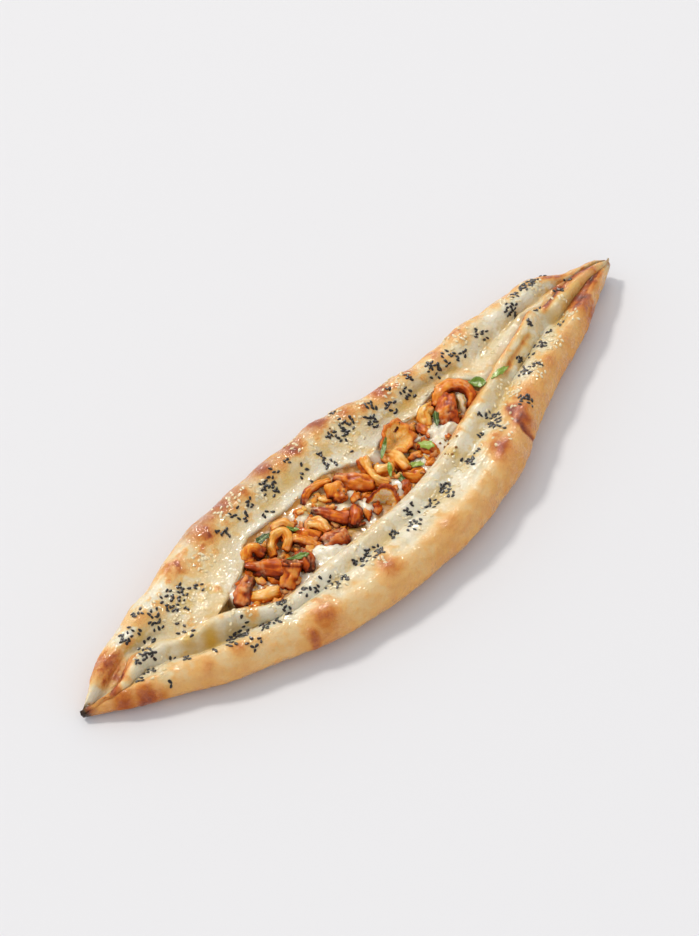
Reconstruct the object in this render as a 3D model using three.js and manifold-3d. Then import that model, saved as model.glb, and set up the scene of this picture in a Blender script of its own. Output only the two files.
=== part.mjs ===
// A turkish pide: a long boat of flat bread whose two edges are folded in over a filling of
// melted cheese and chanterelles, with torn parsley on top and sesame strewn over the folds.
//
// Millimetres. X runs along the boat from the dark near tip to the far tip, Y is left, Z is up,
// and the flat baked base lies on z = 0 with the origin under the middle of the boat.

import * as THREE from "three";
import { mergeGeometries, mergeVertices } from "three/addons/utils/BufferGeometryUtils.js";
import Module from "manifold-3d";

const wasm = await Module();
wasm.setup();

// ---------------------------------------------------------------- driving dimensions

const LENGTH = 450;
const HALF = LENGTH / 2;
const BOW = 19; // both tips bend this far to the left of the middle
const RIM_RADIUS = 13; // the rolled edge of dough, seen in section
const BASE_DOUGH = 8.5; // from the table to the floor of the trough
const UNDERCUT = 1.4; // how far a fold overhangs the trough wall below it
const FOLD_STEP = 0.6; // air under the right fold where it lies over the left one
const LEAST_LIP = { thick: 0.4, undercut: 0.15 }; // the left lip where the seam has closed on it
const CREVICE = 0.9; // width of the seam between the folds where they overlap
const GAP = 0.35; // clearance between neighbouring pieces

const STATIONS = 56; // sections along the crust
const TIP_CROWDING = 0.75; // 0 spaces the sections evenly, towards 1 crowds them at the tips

const CHEESE = { from: -121, to: 87, top: 14.6, bump: 1.1 };
const SEED = { length: 3.0, width: 1.7, height: 1.4, spacing: 3.4, share: 0.27, roll: 0.3 };
const LEAF_THICKNESS = 0.5;

const COLOURS = { crust: 0xe0b97c, cheese: 0xece4c4, mushroom: 0xc2641d, parsley: 0x5a8a38 };

// ---------------------------------------------------------------- outline of the boat

/** A smooth curve through key points [x, value] that never swings past them. */
function curve(keys) {
  const rise = keys.slice(1).map(([x, v], i) => (v - keys[i][1]) / (x - keys[i][0]));
  const slope = keys.map((_, i) => {
    if (i === 0) return rise[0];
    if (i === keys.length - 1) return rise[i - 1];
    const [a, b] = [rise[i - 1], rise[i]];
    return a * b > 0 ? (2 * a * b) / (a + b) : 0;
  });
  return (x) => {
    if (x <= keys[0][0]) return keys[0][1];
    if (x >= keys[keys.length - 1][0]) return keys[keys.length - 1][1];
    const i = keys.findIndex(([at]) => at > x) - 1;
    const span = keys[i + 1][0] - keys[i][0];
    const t = (x - keys[i][0]) / span;
    const [t2, t3] = [t * t, t * t * t];
    return (
      keys[i][1] * (2 * t3 - 3 * t2 + 1) +
      keys[i + 1][1] * (3 * t2 - 2 * t3) +
      slope[i] * span * (t3 - 2 * t2 + t) +
      slope[i + 1] * span * (t3 - t2)
    );
  };
}

const smoothstep = (low, high, v) => THREE.MathUtils.smoothstep(v, low, high);
const mix = THREE.MathUtils.lerp;

/** The line that the boat bends along, as Y over X. */
const centre = (x) => BOW * (x / HALF) ** 2;

/** How far the underside lifts off the table towards the tips. */
const lift = curve([[-225, 2.5], [-205, 0.8], [-190, 0], [190, 0], [205, 1.5], [225, 6]]);

// Each side of the boat: the outer edge (distance from the centre line), the height of the rim,
// and the height of the hollow between the rim and the fold's inner edge.
const left = {
  sign: 1,
  phase: 0.4,
  edge: curve([
    [-225, 1.5], [-218, 5.5], [-206, 14.5], [-184, 27], [-149, 39], [-104, 55], [-70, 59],
    [-20, 61.5], [15, 59], [45, 50.5], [75, 45.5], [110, 43.5], [140, 40], [155, 36], [170, 34.5],
    [182, 28], [193, 18.5], [205, 13], [216, 8.5], [225, 3],
  ]),
  rim: curve([
    [-225, 5], [-216, 12], [-200, 19], [-175, 22], [-120, 25], [-60, 27], [60, 27], [150, 25],
    [172, 24], [200, 20], [216, 17], [225, 12.5],
  ]),
  hollow: curve([
    [-225, 4], [-212, 10], [-198, 15], [-180, 17.5], [-150, 19.5], [-100, 22], [0, 23], [50, 22],
    [100, 20.5], [140, 20], [170, 19], [205, 16], [216, 14.5], [225, 10.5],
  ]),
};

const right = {
  sign: -1,
  phase: 2.1,
  edge: curve([
    [-225, 1.5], [-214, 8], [-200, 15.5], [-171, 30], [-145, 40.5], [-117, 49], [-87, 57],
    [-50, 61], [0, 61.5], [29, 58], [63, 51.5], [91, 41.3], [117, 32], [142, 25.3], [166, 20.3],
    [193, 11.8], [213, 6], [225, 2.5],
  ]),
  rim: curve([
    [-225, 5], [-214, 11], [-195, 17], [-170, 21], [-130, 24], [-60, 26], [60, 27], [110, 27],
    [150, 25], [180, 22], [205, 19], [216, 16.5], [225, 12.5],
  ]),
  hollow: curve([
    [-225, 3.5], [-212, 7], [-198, 9], [-165, 11], [-148, 12.5], [-130, 15], [-110, 18], [-80, 20],
    [90, 20], [118, 18.5], [165, 16.5], [185, 15.5], [205, 15], [216, 14], [225, 10.5],
  ]),
};

// The right fold closes over the left one at both ends. Its inner edge, left of the centre line
// where positive, and the height of its top there.
const rightLip = curve([
  [-225, 0], [-216, -3.2], [-202, -2.3], [-194, 1.9], [-183, 7.4], [-169, 6.3], [-158, -0.4],
  [-143, -2.7], [-127, -9], [-116, -17], [-102, -22], [-69, -19.3], [-8, -18.5], [17, -16],
  [35, -13], [59, -6.5], [91, 0.3], [137, 8], [154, 12], [165, 6.8], [191, 7.3], [225, 0],
]);
const rightLipTop = curve([
  [-225, 4.5], [-214, 10], [-200, 16], [-190, 18], [-176, 16.5], [-158, 19], [-143, 22],
  [-127, 24], [0, 23.5], [80, 25], [125, 27], [145, 27], [158, 24], [170, 24.5], [190, 22],
  [205, 19.3], [216, 17], [225, 12],
]);
const lipThickness = curve([
  [-225, 0.6], [-212, 2.2], [-195, 2.2], [-180, 1.2], [-170, 1.4], [-140, 3.2], [100, 3.6],
  [148, 3.6], [158, 1.6], [170, 2.6], [195, 2.4], [215, 1.2], [225, 0.6],
]);
// The left fold's inner edge along the open trough. Beyond it, it slips under the right fold.
const leftLip = curve([
  [-136, -4], [-118, 2.8], [-107, 7.7], [-98, 13.4], [-90, 22], [-78, 25.7], [-47, 25], [-24, 28],
  [-9, 23], [8, 15], [19, 20], [30, 21.7], [50, 17], [64, 20.5], [81, 18.5], [90, 10], [99, -8],
]);
const LEFT_LIP_TOP = 20.5;

/** The uneven swelling of the baked rim, about a millimetre either way. */
function swelling(x, { phase }) {
  return 0.6 * Math.sin(x / 8.7 + phase * 3) + 0.45 * Math.sin(x / 4.9 + phase * 7);
}

/** Everything that fixes the section at x: both sides, their lips and the floor between them. */
function measures(x) {
  const rightAt = rightLip(x);
  const seam = Math.min(CREVICE, 0.15 * left.edge(x));
  const leftAt = Math.max(leftLip(x), rightAt + seam);
  const open = smoothstep(2, 10, leftAt - rightAt);
  const thick = lipThickness(x);
  const rightTop = rightLipTop(x);
  const leftTop = mix(rightTop - thick - FOLD_STEP, LEFT_LIP_TOP, open);
  const floor = mix(leftTop - FOLD_STEP, BASE_DOUGH, open);
  return {
    floor,
    open,
    sides: [
      { side: right, lip: -rightAt, top: rightTop, thick, undercut: UNDERCUT },
      {
        side: left,
        lip: leftAt,
        top: leftTop,
        thick: mix(LEAST_LIP.thick, thick, open),
        undercut: mix(LEAST_LIP.undercut, UNDERCUT, open),
      },
    ],
  };
}

/** One side of the section as [distance from the centre line, height], from base to floor. */
function foldProfile(x, { side, lip, top, thick, undercut }, floor) {
  const base = lift(x);
  const width = side.edge(x);
  const radius = Math.min(RIM_RADIUS, 0.42 * width);
  const uneven = swelling(x, side) * smoothstep(8, 30, width);
  const edge = width + 0.5 * uneven;
  const rim = side.rim(x) + uneven;
  const up = (share) => mix(base, rim, share);
  const crest = Math.max(edge - radius, lip + Math.min(1.5, 0.15 * width));
  const room = crest - lip;
  const hollow = mix((rim + top) / 2, side.hollow(x), smoothstep(1, 9, room));
  const under = Math.min(undercut, 0.4 * room);
  return [
    [edge - radius, base],
    [edge - 0.35 * radius, up(0.13)],
    [edge, up(0.45)],
    [edge - 0.22 * radius, up(0.8)],
    [edge - 0.62 * radius, up(0.965)],
    [crest, rim],
    [crest - Math.min(0.45 * radius, 0.25 * room), mix(rim, hollow, 0.35)],
    [(crest + lip) / 2, hollow],
    [lip + Math.min(5, 0.3 * room), top + 0.3 * smoothstep(2, 9, room)],
    [lip + Math.min(0.8, 0.08 * room), top],
    [lip, top - thick / 2],
    [lip + under, top - thick],
    [lip + under, floor],
  ];
}

/** The closed outline of the crust at x, as [y, z], pushed outward by grow. */
function crustSection(x, grow = 0) {
  const { floor, sides } = measures(x);
  const [rightSide, leftSide] = sides.map((fold) =>
    foldProfile(x, fold, floor).map(([out, z]) => [centre(x) + fold.side.sign * out, z]),
  );
  const middle = (rightSide.at(-1)[0] + leftSide.at(-1)[0]) / 2;
  const outline = [[centre(x), lift(x)], ...rightSide, [middle, floor], ...leftSide.reverse()];
  return grow === 0 ? outline : offsetOutline(outline, grow);
}

/** Moves each corner of a closed outline outward along the mean of its two edges' normals. */
function offsetOutline(outline, distance) {
  const count = outline.length;
  const turn = Math.sign(THREE.ShapeUtils.area(outline.map(([x, y]) => new THREE.Vector2(x, y))));
  return outline.map(([y, z], i) => {
    const [before, after] = [outline.at(i - 1), outline[(i + 1) % count]];
    const along = new THREE.Vector2(after[0] - before[0], after[1] - before[1]).normalize();
    return [y + turn * distance * along.y, z - turn * distance * along.x];
  });
}

// ---------------------------------------------------------------- closed meshes and solids

/** A closed body from rings of equal count. Each end is a point or, where null, a flat cap. */
function skin(rings, startPoint = null, endPoint = null) {
  const count = rings[0].length;
  const points = rings.flat();
  const faces = [];
  for (let r = 0; r + 1 < rings.length; r += 1) {
    for (let i = 0; i < count; i += 1) {
      const [a, b] = [r * count + i, r * count + ((i + 1) % count)];
      faces.push([a, b, b + count], [a, b + count, a + count]);
    }
  }
  const closeEnd = (first, point, flip) => {
    if (point) {
      points.push(point);
      for (let i = 0; i < count; i += 1) {
        const pair = [first + i, first + ((i + 1) % count)];
        faces.push([...(flip ? pair.reverse() : pair), points.length - 1]);
      }
      return;
    }
    const flat = points.slice(first, first + count).map(([, y, z]) => new THREE.Vector2(y, z));
    const turned = THREE.ShapeUtils.area(flat) < 0;
    for (const face of THREE.ShapeUtils.triangulateShape(turned ? flat.reverse() : flat, [])) {
      const corners = face.map((i) => first + (turned ? count - 1 - i : i));
      faces.push(turned === flip ? corners : corners.reverse());
    }
  };
  closeEnd(0, startPoint, true);
  closeEnd((rings.length - 1) * count, endPoint, false);
  const geometry = new THREE.BufferGeometry();
  geometry.setAttribute("position", new THREE.Float32BufferAttribute(points.flat(), 3));
  geometry.setIndex(faces.flat());
  if (volume(geometry) < 0) {
    geometry.setIndex(faces.map((face) => face.slice().reverse()).flat());
  }
  return geometry;
}

function volume(geometry) {
  const { array: xyz } = geometry.attributes.position;
  const corner = (i) => new THREE.Vector3().fromArray(xyz, 3 * i);
  const index = geometry.index.array;
  let sum = 0;
  for (let i = 0; i < index.length; i += 3) {
    const [a, b, c] = [corner(index[i]), corner(index[i + 1]), corner(index[i + 2])];
    sum += a.dot(b.cross(c)) / 6;
  }
  return sum;
}

function toSolid(geometry) {
  const bare = geometry.clone();
  bare.deleteAttribute("normal");
  bare.deleteAttribute("uv");
  const merged = mergeVertices(bare, 1e-5);
  return new wasm.Manifold(
    new wasm.Mesh({
      numProp: 3,
      vertProperties: new Float32Array(merged.attributes.position.array),
      triVerts: new Uint32Array(merged.index.array),
    }),
  );
}

function toGeometry(solid) {
  const mesh = solid.getMesh();
  const geometry = new THREE.BufferGeometry();
  geometry.setAttribute("position", new THREE.BufferAttribute(mesh.vertProperties, 3));
  geometry.setIndex(new THREE.BufferAttribute(mesh.triVerts, 1));
  return geometry;
}

/** The largest separate body of a solid, so that no crumb is left over by a cut. */
function largestPiece(solid) {
  return solid.decompose().reduce((a, b) => (a.volume() > b.volume() ? a : b));
}

// ---------------------------------------------------------------- crust and cheese

/** Places along the boat, closer together towards the tips. */
const stations = Array.from({ length: STATIONS + 1 }, (_, i) => {
  const share = (2 * i) / STATIONS - 1;
  const bend = (TIP_CROWDING * Math.PI) / 2;
  return (HALF * Math.sin(bend * share)) / Math.sin(bend);
});

function crustBody(grow = 0) {
  return skin(stations.map((x) => crustSection(x, grow).map(([y, z]) => [x, y, z])));
}

/** The cheese fills the trough between its walls, up to a softly lumpy top. */
function cheeseBody(grow = 0) {
  const within = stations.filter((x) => x > CHEESE.from && x < CHEESE.to);
  const across = [0, 0.18, 0.36, 0.52, 0.68, 0.84, 1];
  const rings = within.map((x) => {
    const { floor, sides } = measures(x);
    const [from, to] = sides.map(({ side, lip, undercut }) => side.sign * (lip + undercut));
    const inset = GAP + 0.25;
    const top = across.map((share) => {
      const y = centre(x) + mix(from + inset, to - inset, share);
      const bump = Math.sin(x / 6.1 + 1) * Math.sin(y / 5.3) + 0.4 * Math.sin(x / 3.7 + y / 4.1);
      const meniscus = share === 0 || share === 1 ? -0.6 : 0;
      return [x, y, CHEESE.top + CHEESE.bump * bump * 0.7 + meniscus + grow];
    });
    const bottom = floor + GAP;
    return [...top, [x, top.at(-1)[1], bottom], [x, top[0][1], bottom]];
  });
  return skin(rings);
}

// ---------------------------------------------------------------- sesame on the folds

/** A repeatable stream of numbers from 0 to 1. */
function dice(seed) {
  let state = seed;
  return () => {
    state = (state * 1664525 + 1013904223) % 4294967296;
    return state / 4294967296;
  };
}

// Where the sesame drifted: middle of the drift, how far it reaches, and how many seeds.
const DRIFTS = [
  [-180, 29, 5, 12], [-161, 27, 6, 20], [-145, 25, 7, 26], [-134, 27, 5, 10], [-179, 14, 5, 16],
  [-188, 7, 4, 9], [-93, 39, 4, 8], [-78, 41, 5, 10], [-65, 37, 5, 7], [-51, 43, 5, 20],
  [-33, 39, 6, 8], [-14, 33, 5, 12], [9, 40, 5, 24], [28, 34, 5, 19], [42, 31, 3, 8],
  [56, 32, 5, 9], [64, 38, 3, 5], [78, 32, 5, 17], [93, 31, 5, 14], [119, 30, 5, 9],
  [148, 31, 5, 19], [167, 36, 5, 14], [178, 20, 4, 6], [-138, -14, 4, 24], [-135, -27, 6, 10],
  [-122, -22, 4, 10], [-109, -22, 4, 17], [-93, -26, 3, 8], [-77, -31, 5, 11], [-56, -32, 4, 9],
  [-46, -34, 5, 21], [-30, -34, 4, 8], [-13, -33, 6, 17], [14, -33, 5, 20], [39, -29, 4, 11],
  [74, -19, 5, 22], [66, -25, 4, 9], [100, -21, 3, 11], [114, -9, 4, 13], [121, -1, 3, 5],
  [137, -1, 4, 9], [155, 8, 5, 7], [-168, -3, 5, 5],
];

/** Seeds lie flat and half sunk in the dough, at any heading, none touching the next. */
function sesame(crust) {
  const roll = dice(11);
  const caster = new THREE.Raycaster();
  const down = new THREE.Vector3(0, 0, -1);
  const placed = [];
  const seeds = [];
  for (const [x, y, reach, count] of DRIFTS) {
    const wanted = Math.max(1, Math.round(count * SEED.share));
    let found = 0;
    for (let tries = 0; tries < 60 && found < wanted; tries += 1) {
      const bearing = roll() * 2 * Math.PI;
      const distance = reach * Math.sqrt(roll());
      const at = new THREE.Vector3(
        x + distance * Math.cos(bearing), y + distance * Math.sin(bearing), 60);
      const heading = roll() * Math.PI;
      if (placed.some((other) => other.distanceTo(at) < SEED.spacing) || nearLip(at)) continue;
      caster.set(at, down);
      const [hit] = caster.intersectObject(crust);
      placed.push(at);
      seeds.push(seedAt(hit.point, hit.face.normal, heading));
      found += 1;
    }
  }
  return mergeGeometries(seeds);
}

/** Whether a point is over the trough or within a seed's length of a fold's edge. */
function nearLip({ x, y }) {
  const off = y - centre(x);
  const [rightAt, leftAt] = measures(x).sides.map(({ side, lip }) => side.sign * lip);
  return off > rightAt - SEED.length && off < leftAt + SEED.length;
}

function seedAt(point, normal, heading) {
  const seed = new THREE.IcosahedronGeometry(0.5, 0);
  seed.rotateX(SEED.roll);
  seed.scale(SEED.width, SEED.length, SEED.height);
  seed.rotateZ(heading);
  seed.applyQuaternion(
    new THREE.Quaternion().setFromUnitVectors(new THREE.Vector3(0, 0, 1), normal),
  );
  seed.translate(point.x, point.y, point.z);
  return seed;
}

// ---------------------------------------------------------------- chanterelles

// Each piece of mushroom follows a path of [x, y, z]. radii run along it, flat squeezes it,
// and mouth gives a trumpet its hollow end: how deep it goes and how much its edge ripples.
// A piece is cut back where it meets one that stands before it in the list.
const CHANTERELLES = [
  { path: [[-92, -11, 17], [-88, -8, 21], [-85, -6, 25.5]], radii: [5, 5.6, 5], mouth: [3, 0.05] },
  { path: [[-99, 14, 19.5], [-94, 6, 20], [-88, -3, 20]], radii: [3.4, 5.6, 6.4] },
  { path: [[-106, 7, 20.5], [-114, 3, 20], [-120, -1, 18.5]], radii: [4.2, 5, 4.4] },
  { path: [[-112, -2, 18.5], [-107, -6, 18.5], [-100, -10, 18.5]], radii: [3.6, 4.3, 3.8] },
  { path: [[-94, 18, 18], [-90, 19, 21], [-87, 14, 20]], radii: [4.6, 5.6, 4.4] },
  {
    path: [[-83, 9, 19], [-80, 14, 21], [-74, 17, 22], [-69, 14, 23], [-71, 9, 21.5], [-75, 7, 19]],
    radii: [2.6, 3, 3.3, 3.2, 2.9, 2.4],
  },
  { path: [[-75, -2, 20.5], [-75, -8, 20], [-77, -12, 18]], radii: [4.6, 5.6, 4.4] },
  { path: [[-70, 10, 20], [-66, 5, 21], [-63, -2, 20], [-61, -6, 19]], radii: [2.6, 3.6, 3.2, 2.4] },
  { path: [[-69, 22, 19], [-64, 20, 20], [-62, 15, 19]], radii: [3, 4, 3.2] },
  { path: [[-62, 11, 19.5], [-60, 4, 20], [-57, -1, 19.5]], radii: [3.2, 4.2, 3.4] },
  { path: [[-53, 11, 19], [-50, 6, 20], [-50, -2, 19.5]], radii: [3, 3.8, 3] },
  { path: [[-57, -7, 19.5], [-52, -9, 20.5], [-46, -11, 20]], radii: [5.2, 6, 5], flat: 0.85 },
  { path: [[-21, -3, 20], [-30, -5, 21.5], [-37, -10, 20]], radii: [3.2, 4.6, 3.4] },
  { path: [[-45, 14, 19], [-41, 5, 19.5], [-36, -4, 19.5]], radii: [3.2, 4.2, 4.8] },
  { path: [[-29, 12, 18.5], [-26, 13, 20], [-23, 14, 20.5]], radii: [5.6, 7.2, 6] },
  { path: [[0, 17, 22], [-3, 9, 21.5], [-4, 1, 21], [-1, -3, 20]], radii: [4, 3.2, 3.4, 2.6] },
  { path: [[-18, 21, 18.5], [-14, 13, 19.5], [-8, 2, 19.5]], radii: [4.2, 5.8, 4.2] },
  { path: [[-44, 23, 17.5], [-39, 26, 18.5], [-30, 26, 19], [-22, 23, 19]], radii: [2.4, 2.6, 2.6, 2.2] },
  { path: [[-10, -7, 16], [-14, -11, 20]], radii: [6.5, 9.6], mouth: [2.6, 0.07] },
  { path: [[1, 7, 19.5], [8, 2, 19.5]], radii: [4, 4.6] },
  { path: [[10, -6, 18.5], [13, -10, 18.5], [19, -12, 19.5]], radii: [3.6, 4.8, 3.2] },
  { path: [[13, 11, 19.5], [14, 4, 21], [13, -5, 21]], radii: [3.8, 4.8, 4.2] },
  { path: [[24, 15, 15], [25, 14.5, 19.5], [25, 13, 24]], radii: [5, 6, 10], mouth: [4, 0.12] },
  { path: [[31, 1, 20], [34, -4, 19.5], [35, -10, 18]], radii: [3.4, 4.6, 2.4] },
  { path: [[68, 12, 23.5], [61, 6, 21.5], [55, -2, 19]], radii: [5.4, 7.2, 5.4], flat: 0.85 },
  {
    path: [[61, 15, 21], [68, 18, 24], [76, 16, 25], [80, 10, 25], [79, 3, 23], [74, -1, 20]],
    radii: [2.8, 3.4, 3.8, 3.8, 3.4, 2.6],
  },
  { path: [[76, 9, 21], [73, 4, 19.5], [70, 1, 17]], radii: [2.6, 3, 2.4] },
  { path: [[57, 16, 21], [51, 15, 21.5], [47, 9, 19]], radii: [3, 4, 3.4] },
  { path: [[43, 13, 19], [42, 7, 19.5], [45, 3, 19]], radii: [2.4, 3.2, 2.6] },
];
const MUSHROOM = { sides: 8, step: 6.5, lump: 0.07 };

/** Rings of points along a path, slightly lumpy, with the frame of each ring kept for its ends. */
function sweep({ path, radii, flat = 1 }, phase, grow) {
  const spine = new THREE.CatmullRomCurve3(path.map((at) => new THREE.Vector3(...at)));
  const steps = Math.max(3, Math.round(spine.getLength() / MUSHROOM.step));
  const radiusAt = curve(radii.map((radius, i) => [i / (radii.length - 1), radius]));
  return Array.from({ length: steps + 1 }, (_, i) => {
    const u = i / steps;
    const along = spine.getTangentAt(u);
    const sideways = new THREE.Vector3(0, 0, 1).cross(along).normalize();
    const upward = along.clone().cross(sideways);
    const ring = (scale, shift, ripple = 0) =>
      Array.from({ length: MUSHROOM.sides }, (__, k) => {
        const angle = (2 * Math.PI * k) / MUSHROOM.sides;
        const lump = 1 + MUSHROOM.lump * Math.sin(3 * angle + 4 * u + phase) +
          MUSHROOM.lump * Math.sin(2 * angle - 5 * u + 2 * phase);
        const wave = 1 + ripple * Math.sin(4 * angle + phase);
        const radius = radiusAt(u) * lump * wave * scale + grow;
        return spine.getPointAt(u)
          .addScaledVector(sideways, radius * Math.cos(angle))
          .addScaledVector(upward, flat * radius * Math.sin(angle))
          .addScaledVector(along, shift + radiusAt(u) * ripple * Math.cos(3 * angle + phase))
          .toArray();
      });
    const onAxis = (shift) => spine.getPointAt(u).addScaledVector(along, shift).toArray();
    return { ring, onAxis, radius: radiusAt(u) };
  });
}

/** A stem, strip or curl with rounded ends, or a trumpet with a hollow mouth at its far end. */
function chanterelle(piece, number, grow = 0) {
  const frames = sweep(piece, number * 1.7, grow);
  const [first, last] = [frames[0], frames.at(-1)];
  const rounding = 0.35;
  const rings = [
    first.ring(0.66, -rounding * first.radius - grow),
    ...frames.slice(0, -1).map(({ ring }) => ring(1, 0)),
  ];
  const start = first.onAxis(-0.5 * first.radius - grow);
  if (!piece.mouth) {
    rings.push(last.ring(1, 0), last.ring(0.66, rounding * last.radius + grow));
    return skin(rings, start, last.onAxis(0.5 * last.radius + grow));
  }
  const [depth, ripple] = piece.mouth;
  rings.push(last.ring(1, -0.6, ripple), last.ring(0.96, 0.5 + grow, ripple));
  if (grow > 0) return skin(rings, start, last.onAxis(0.5 + grow));
  rings.push(last.ring(0.78, 0, ripple), last.ring(0.45, -0.75 * depth));
  return skin(rings, start, last.onAxis(-depth));
}

/** Every piece, cut back to clear the dough, the cheese and the pieces before it. */
function chanterelles() {
  const dough = toSolid(crustBody(GAP));
  const cheese = toSolid(cheeseBody(GAP));
  const before = [];
  return CHANTERELLES.map((piece, i) => {
    let solid = toSolid(chanterelle(piece, i)).subtract(dough).subtract(cheese);
    for (const other of before) solid = solid.subtract(other);
    before.push(toSolid(chanterelle(piece, i, GAP)));
    return toGeometry(largestPiece(solid));
  });
}

// ---------------------------------------------------------------- parsley

// Torn leaves, each from one end to the other over the filling, with its greatest width and
// how far it curls up along its edges.
const LEAVES = [
  { from: [-87, 19], to: [-76, 19], width: 7, curl: 1.2 },
  { from: [-66, 17], to: [-62, 9], width: 3.6, curl: 0.8 },
  { from: [-83, -1], to: [-72, -8], width: 5.5, curl: 1.4 },
  { from: [31, 2], to: [35, -7], width: 7.5, curl: 0.9 },
  { from: [19, 16], to: [6, 8], width: 3, curl: 0.6 },
  { from: [9, 5], to: [2, -3], width: 2.6, curl: 0.5 },
  { from: [8, -1], to: [4, -15], width: 5, curl: 1.3 },
  { from: [15, -5], to: [23, -10], width: 6, curl: 0.9 },
  { from: [55, 10], to: [48, 2], width: 5, curl: 1 },
  { from: [83, 9], to: [91, 2], width: 8, curl: 1.1 },
  { from: [94, 0.5], to: [109, 0], width: 5, curl: 1 },
];
const LEAF_STEPS = { along: 3, across: 2 };

/** A thin wavy sheet from one end to the other, its two faces split into triangles alike. */
function leaf({ from, to, width, curl }, number) {
  const [start, end] = [new THREE.Vector2(...from), new THREE.Vector2(...to)];
  const sideways = end.clone().sub(start).normalize().rotateAround(new THREE.Vector2(), Math.PI / 2);
  const { along, across } = LEAF_STEPS;
  const loop = Array.from({ length: along + 1 }, (_, i) => {
    const u = i / along;
    const fullness = 0.2 + 0.8 * Math.sin(Math.PI * u) ** 0.7;
    const half = (width / 2) * fullness;
    const row = Array.from({ length: across + 1 }, (__, k) => {
      const v = (2 * k) / across - 1;
      const at = start.clone().lerp(end, u).addScaledVector(sideways, v * half);
      const wave = 0.35 * Math.sin(5 * u + fullness * 2 * v + number);
      return [at.x, at.y, curl * (fullness * v * v + wave)];
    });
    const above = row.map(([x, y, z]) => [x, y, z + LEAF_THICKNESS]);
    return [...row, ...above.reverse()];
  });
  return skin(loop, meanPoint(loop[0]), meanPoint(loop.at(-1)));
}

function meanPoint(ring) {
  return [0, 1, 2].map((axis) => ring.reduce((sum, at) => sum + at[axis], 0) / ring.length);
}

/** Tilts a leaf to the slope under its two ends, then lowers it until it lies a gap above. */
function settle(geometry, { from, to }, supports) {
  const caster = new THREE.Raycaster();
  const down = new THREE.Vector3(0, 0, -1);
  const heightAt = (x, y) => {
    caster.set(new THREE.Vector3(x, y, 60), down);
    return caster.intersectObjects(supports)[0].point.z;
  };
  const along = new THREE.Vector2(to[0] - from[0], to[1] - from[1]);
  const [low, high] = [from, to].map(([x, y]) => heightAt(x, y));
  const slope = THREE.MathUtils.clamp((high - low) / along.length(), -0.6, 0.6);
  const position = geometry.attributes.position;
  const direction = along.normalize();
  for (let i = 0; i < position.count; i += 1) {
    const reach = (position.getX(i) - from[0]) * direction.x +
      (position.getY(i) - from[1]) * direction.y;
    position.setZ(i, position.getZ(i) + slope * reach);
  }
  const clearances = pointsOnFaces(geometry, 4).map(({ x, y, z }) => heightAt(x, y) - z);
  geometry.translate(0, 0, Math.max(...clearances) + GAP);
  return geometry;
}

/** Points spread over every face, so that nothing pokes through between the corners. */
function pointsOnFaces(geometry, steps) {
  const { position } = geometry.attributes;
  const index = geometry.index.array;
  const points = [];
  for (let f = 0; f < index.length; f += 3) {
    const [a, b, c] = [0, 1, 2].map((k) =>
      new THREE.Vector3().fromBufferAttribute(position, index[f + k]));
    for (let i = 0; i <= steps; i += 1) {
      for (let k = 0; i + k <= steps; k += 1) {
        const point = a.clone().multiplyScalar(1 - (i + k) / steps);
        points.push(point.addScaledVector(b, i / steps).addScaledVector(c, k / steps));
      }
    }
  }
  return points;
}

// ---------------------------------------------------------------- the pide

function mesh(name, geometry, colour, roughness) {
  const material = new THREE.MeshStandardMaterial({ color: colour, roughness, metalness: 0 });
  const piece = new THREE.Mesh(geometry, material);
  piece.name = name;
  return piece;
}

const numbered = (name, i) => `${name}_${String(i + 1).padStart(2, "0")}`;

const pide = new THREE.Group();
pide.name = "turkish_pide";

const bareCrust = mesh("bare_crust", crustBody(), COLOURS.crust, 0.55);
const seededCrust = toSolid(bareCrust.geometry).add(toSolid(sesame(bareCrust)));
pide.add(mesh("dough_boat", toGeometry(seededCrust), COLOURS.crust, 0.55));
pide.add(mesh("melted_cheese", cheeseBody(), COLOURS.cheese, 0.35));
chanterelles().forEach((geometry, i) => {
  pide.add(mesh(numbered("chanterelle", i), geometry, COLOURS.mushroom, 0.3));
});

const supports = [...pide.children];
LEAVES.forEach((spec, i) => {
  const geometry = settle(leaf(spec, i), spec, supports);
  pide.add(mesh(numbered("parsley_leaf", i), geometry, COLOURS.parsley, 0.5));
});

export default pide;
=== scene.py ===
# %% [markdown]
# # A turkish pide
#
# A pide is a boat of flat bread. Its two long edges are folded in over the filling, brushed
# with butter and baked until the rims blister. Here the filling is melted cheese with braised
# chanterelles and a little parsley, and black and white sesame is strewn over the folds.
#
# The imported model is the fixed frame: it says how large everything is and where it lies. Each
# piece made below stands for one of its nodes, in metres, in the same place.

import math

import bpy
import numpy as np
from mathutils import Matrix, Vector, noise
from mathutils.bvhtree import BVHTree


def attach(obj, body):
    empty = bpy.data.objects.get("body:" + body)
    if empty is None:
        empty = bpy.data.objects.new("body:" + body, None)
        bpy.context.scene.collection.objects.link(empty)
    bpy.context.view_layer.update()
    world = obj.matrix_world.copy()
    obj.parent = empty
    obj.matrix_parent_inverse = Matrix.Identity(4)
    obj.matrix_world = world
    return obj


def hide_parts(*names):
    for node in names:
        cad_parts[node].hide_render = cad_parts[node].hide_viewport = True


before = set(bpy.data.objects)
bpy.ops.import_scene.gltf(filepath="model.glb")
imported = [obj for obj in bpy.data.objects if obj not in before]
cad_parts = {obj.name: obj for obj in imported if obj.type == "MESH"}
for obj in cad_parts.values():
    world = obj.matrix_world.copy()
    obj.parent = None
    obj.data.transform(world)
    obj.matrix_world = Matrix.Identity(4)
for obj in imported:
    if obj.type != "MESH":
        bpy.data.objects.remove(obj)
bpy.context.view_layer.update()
MM = 0.001  # the lists below are in millimetres, and Blender's meshes in metres

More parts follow.
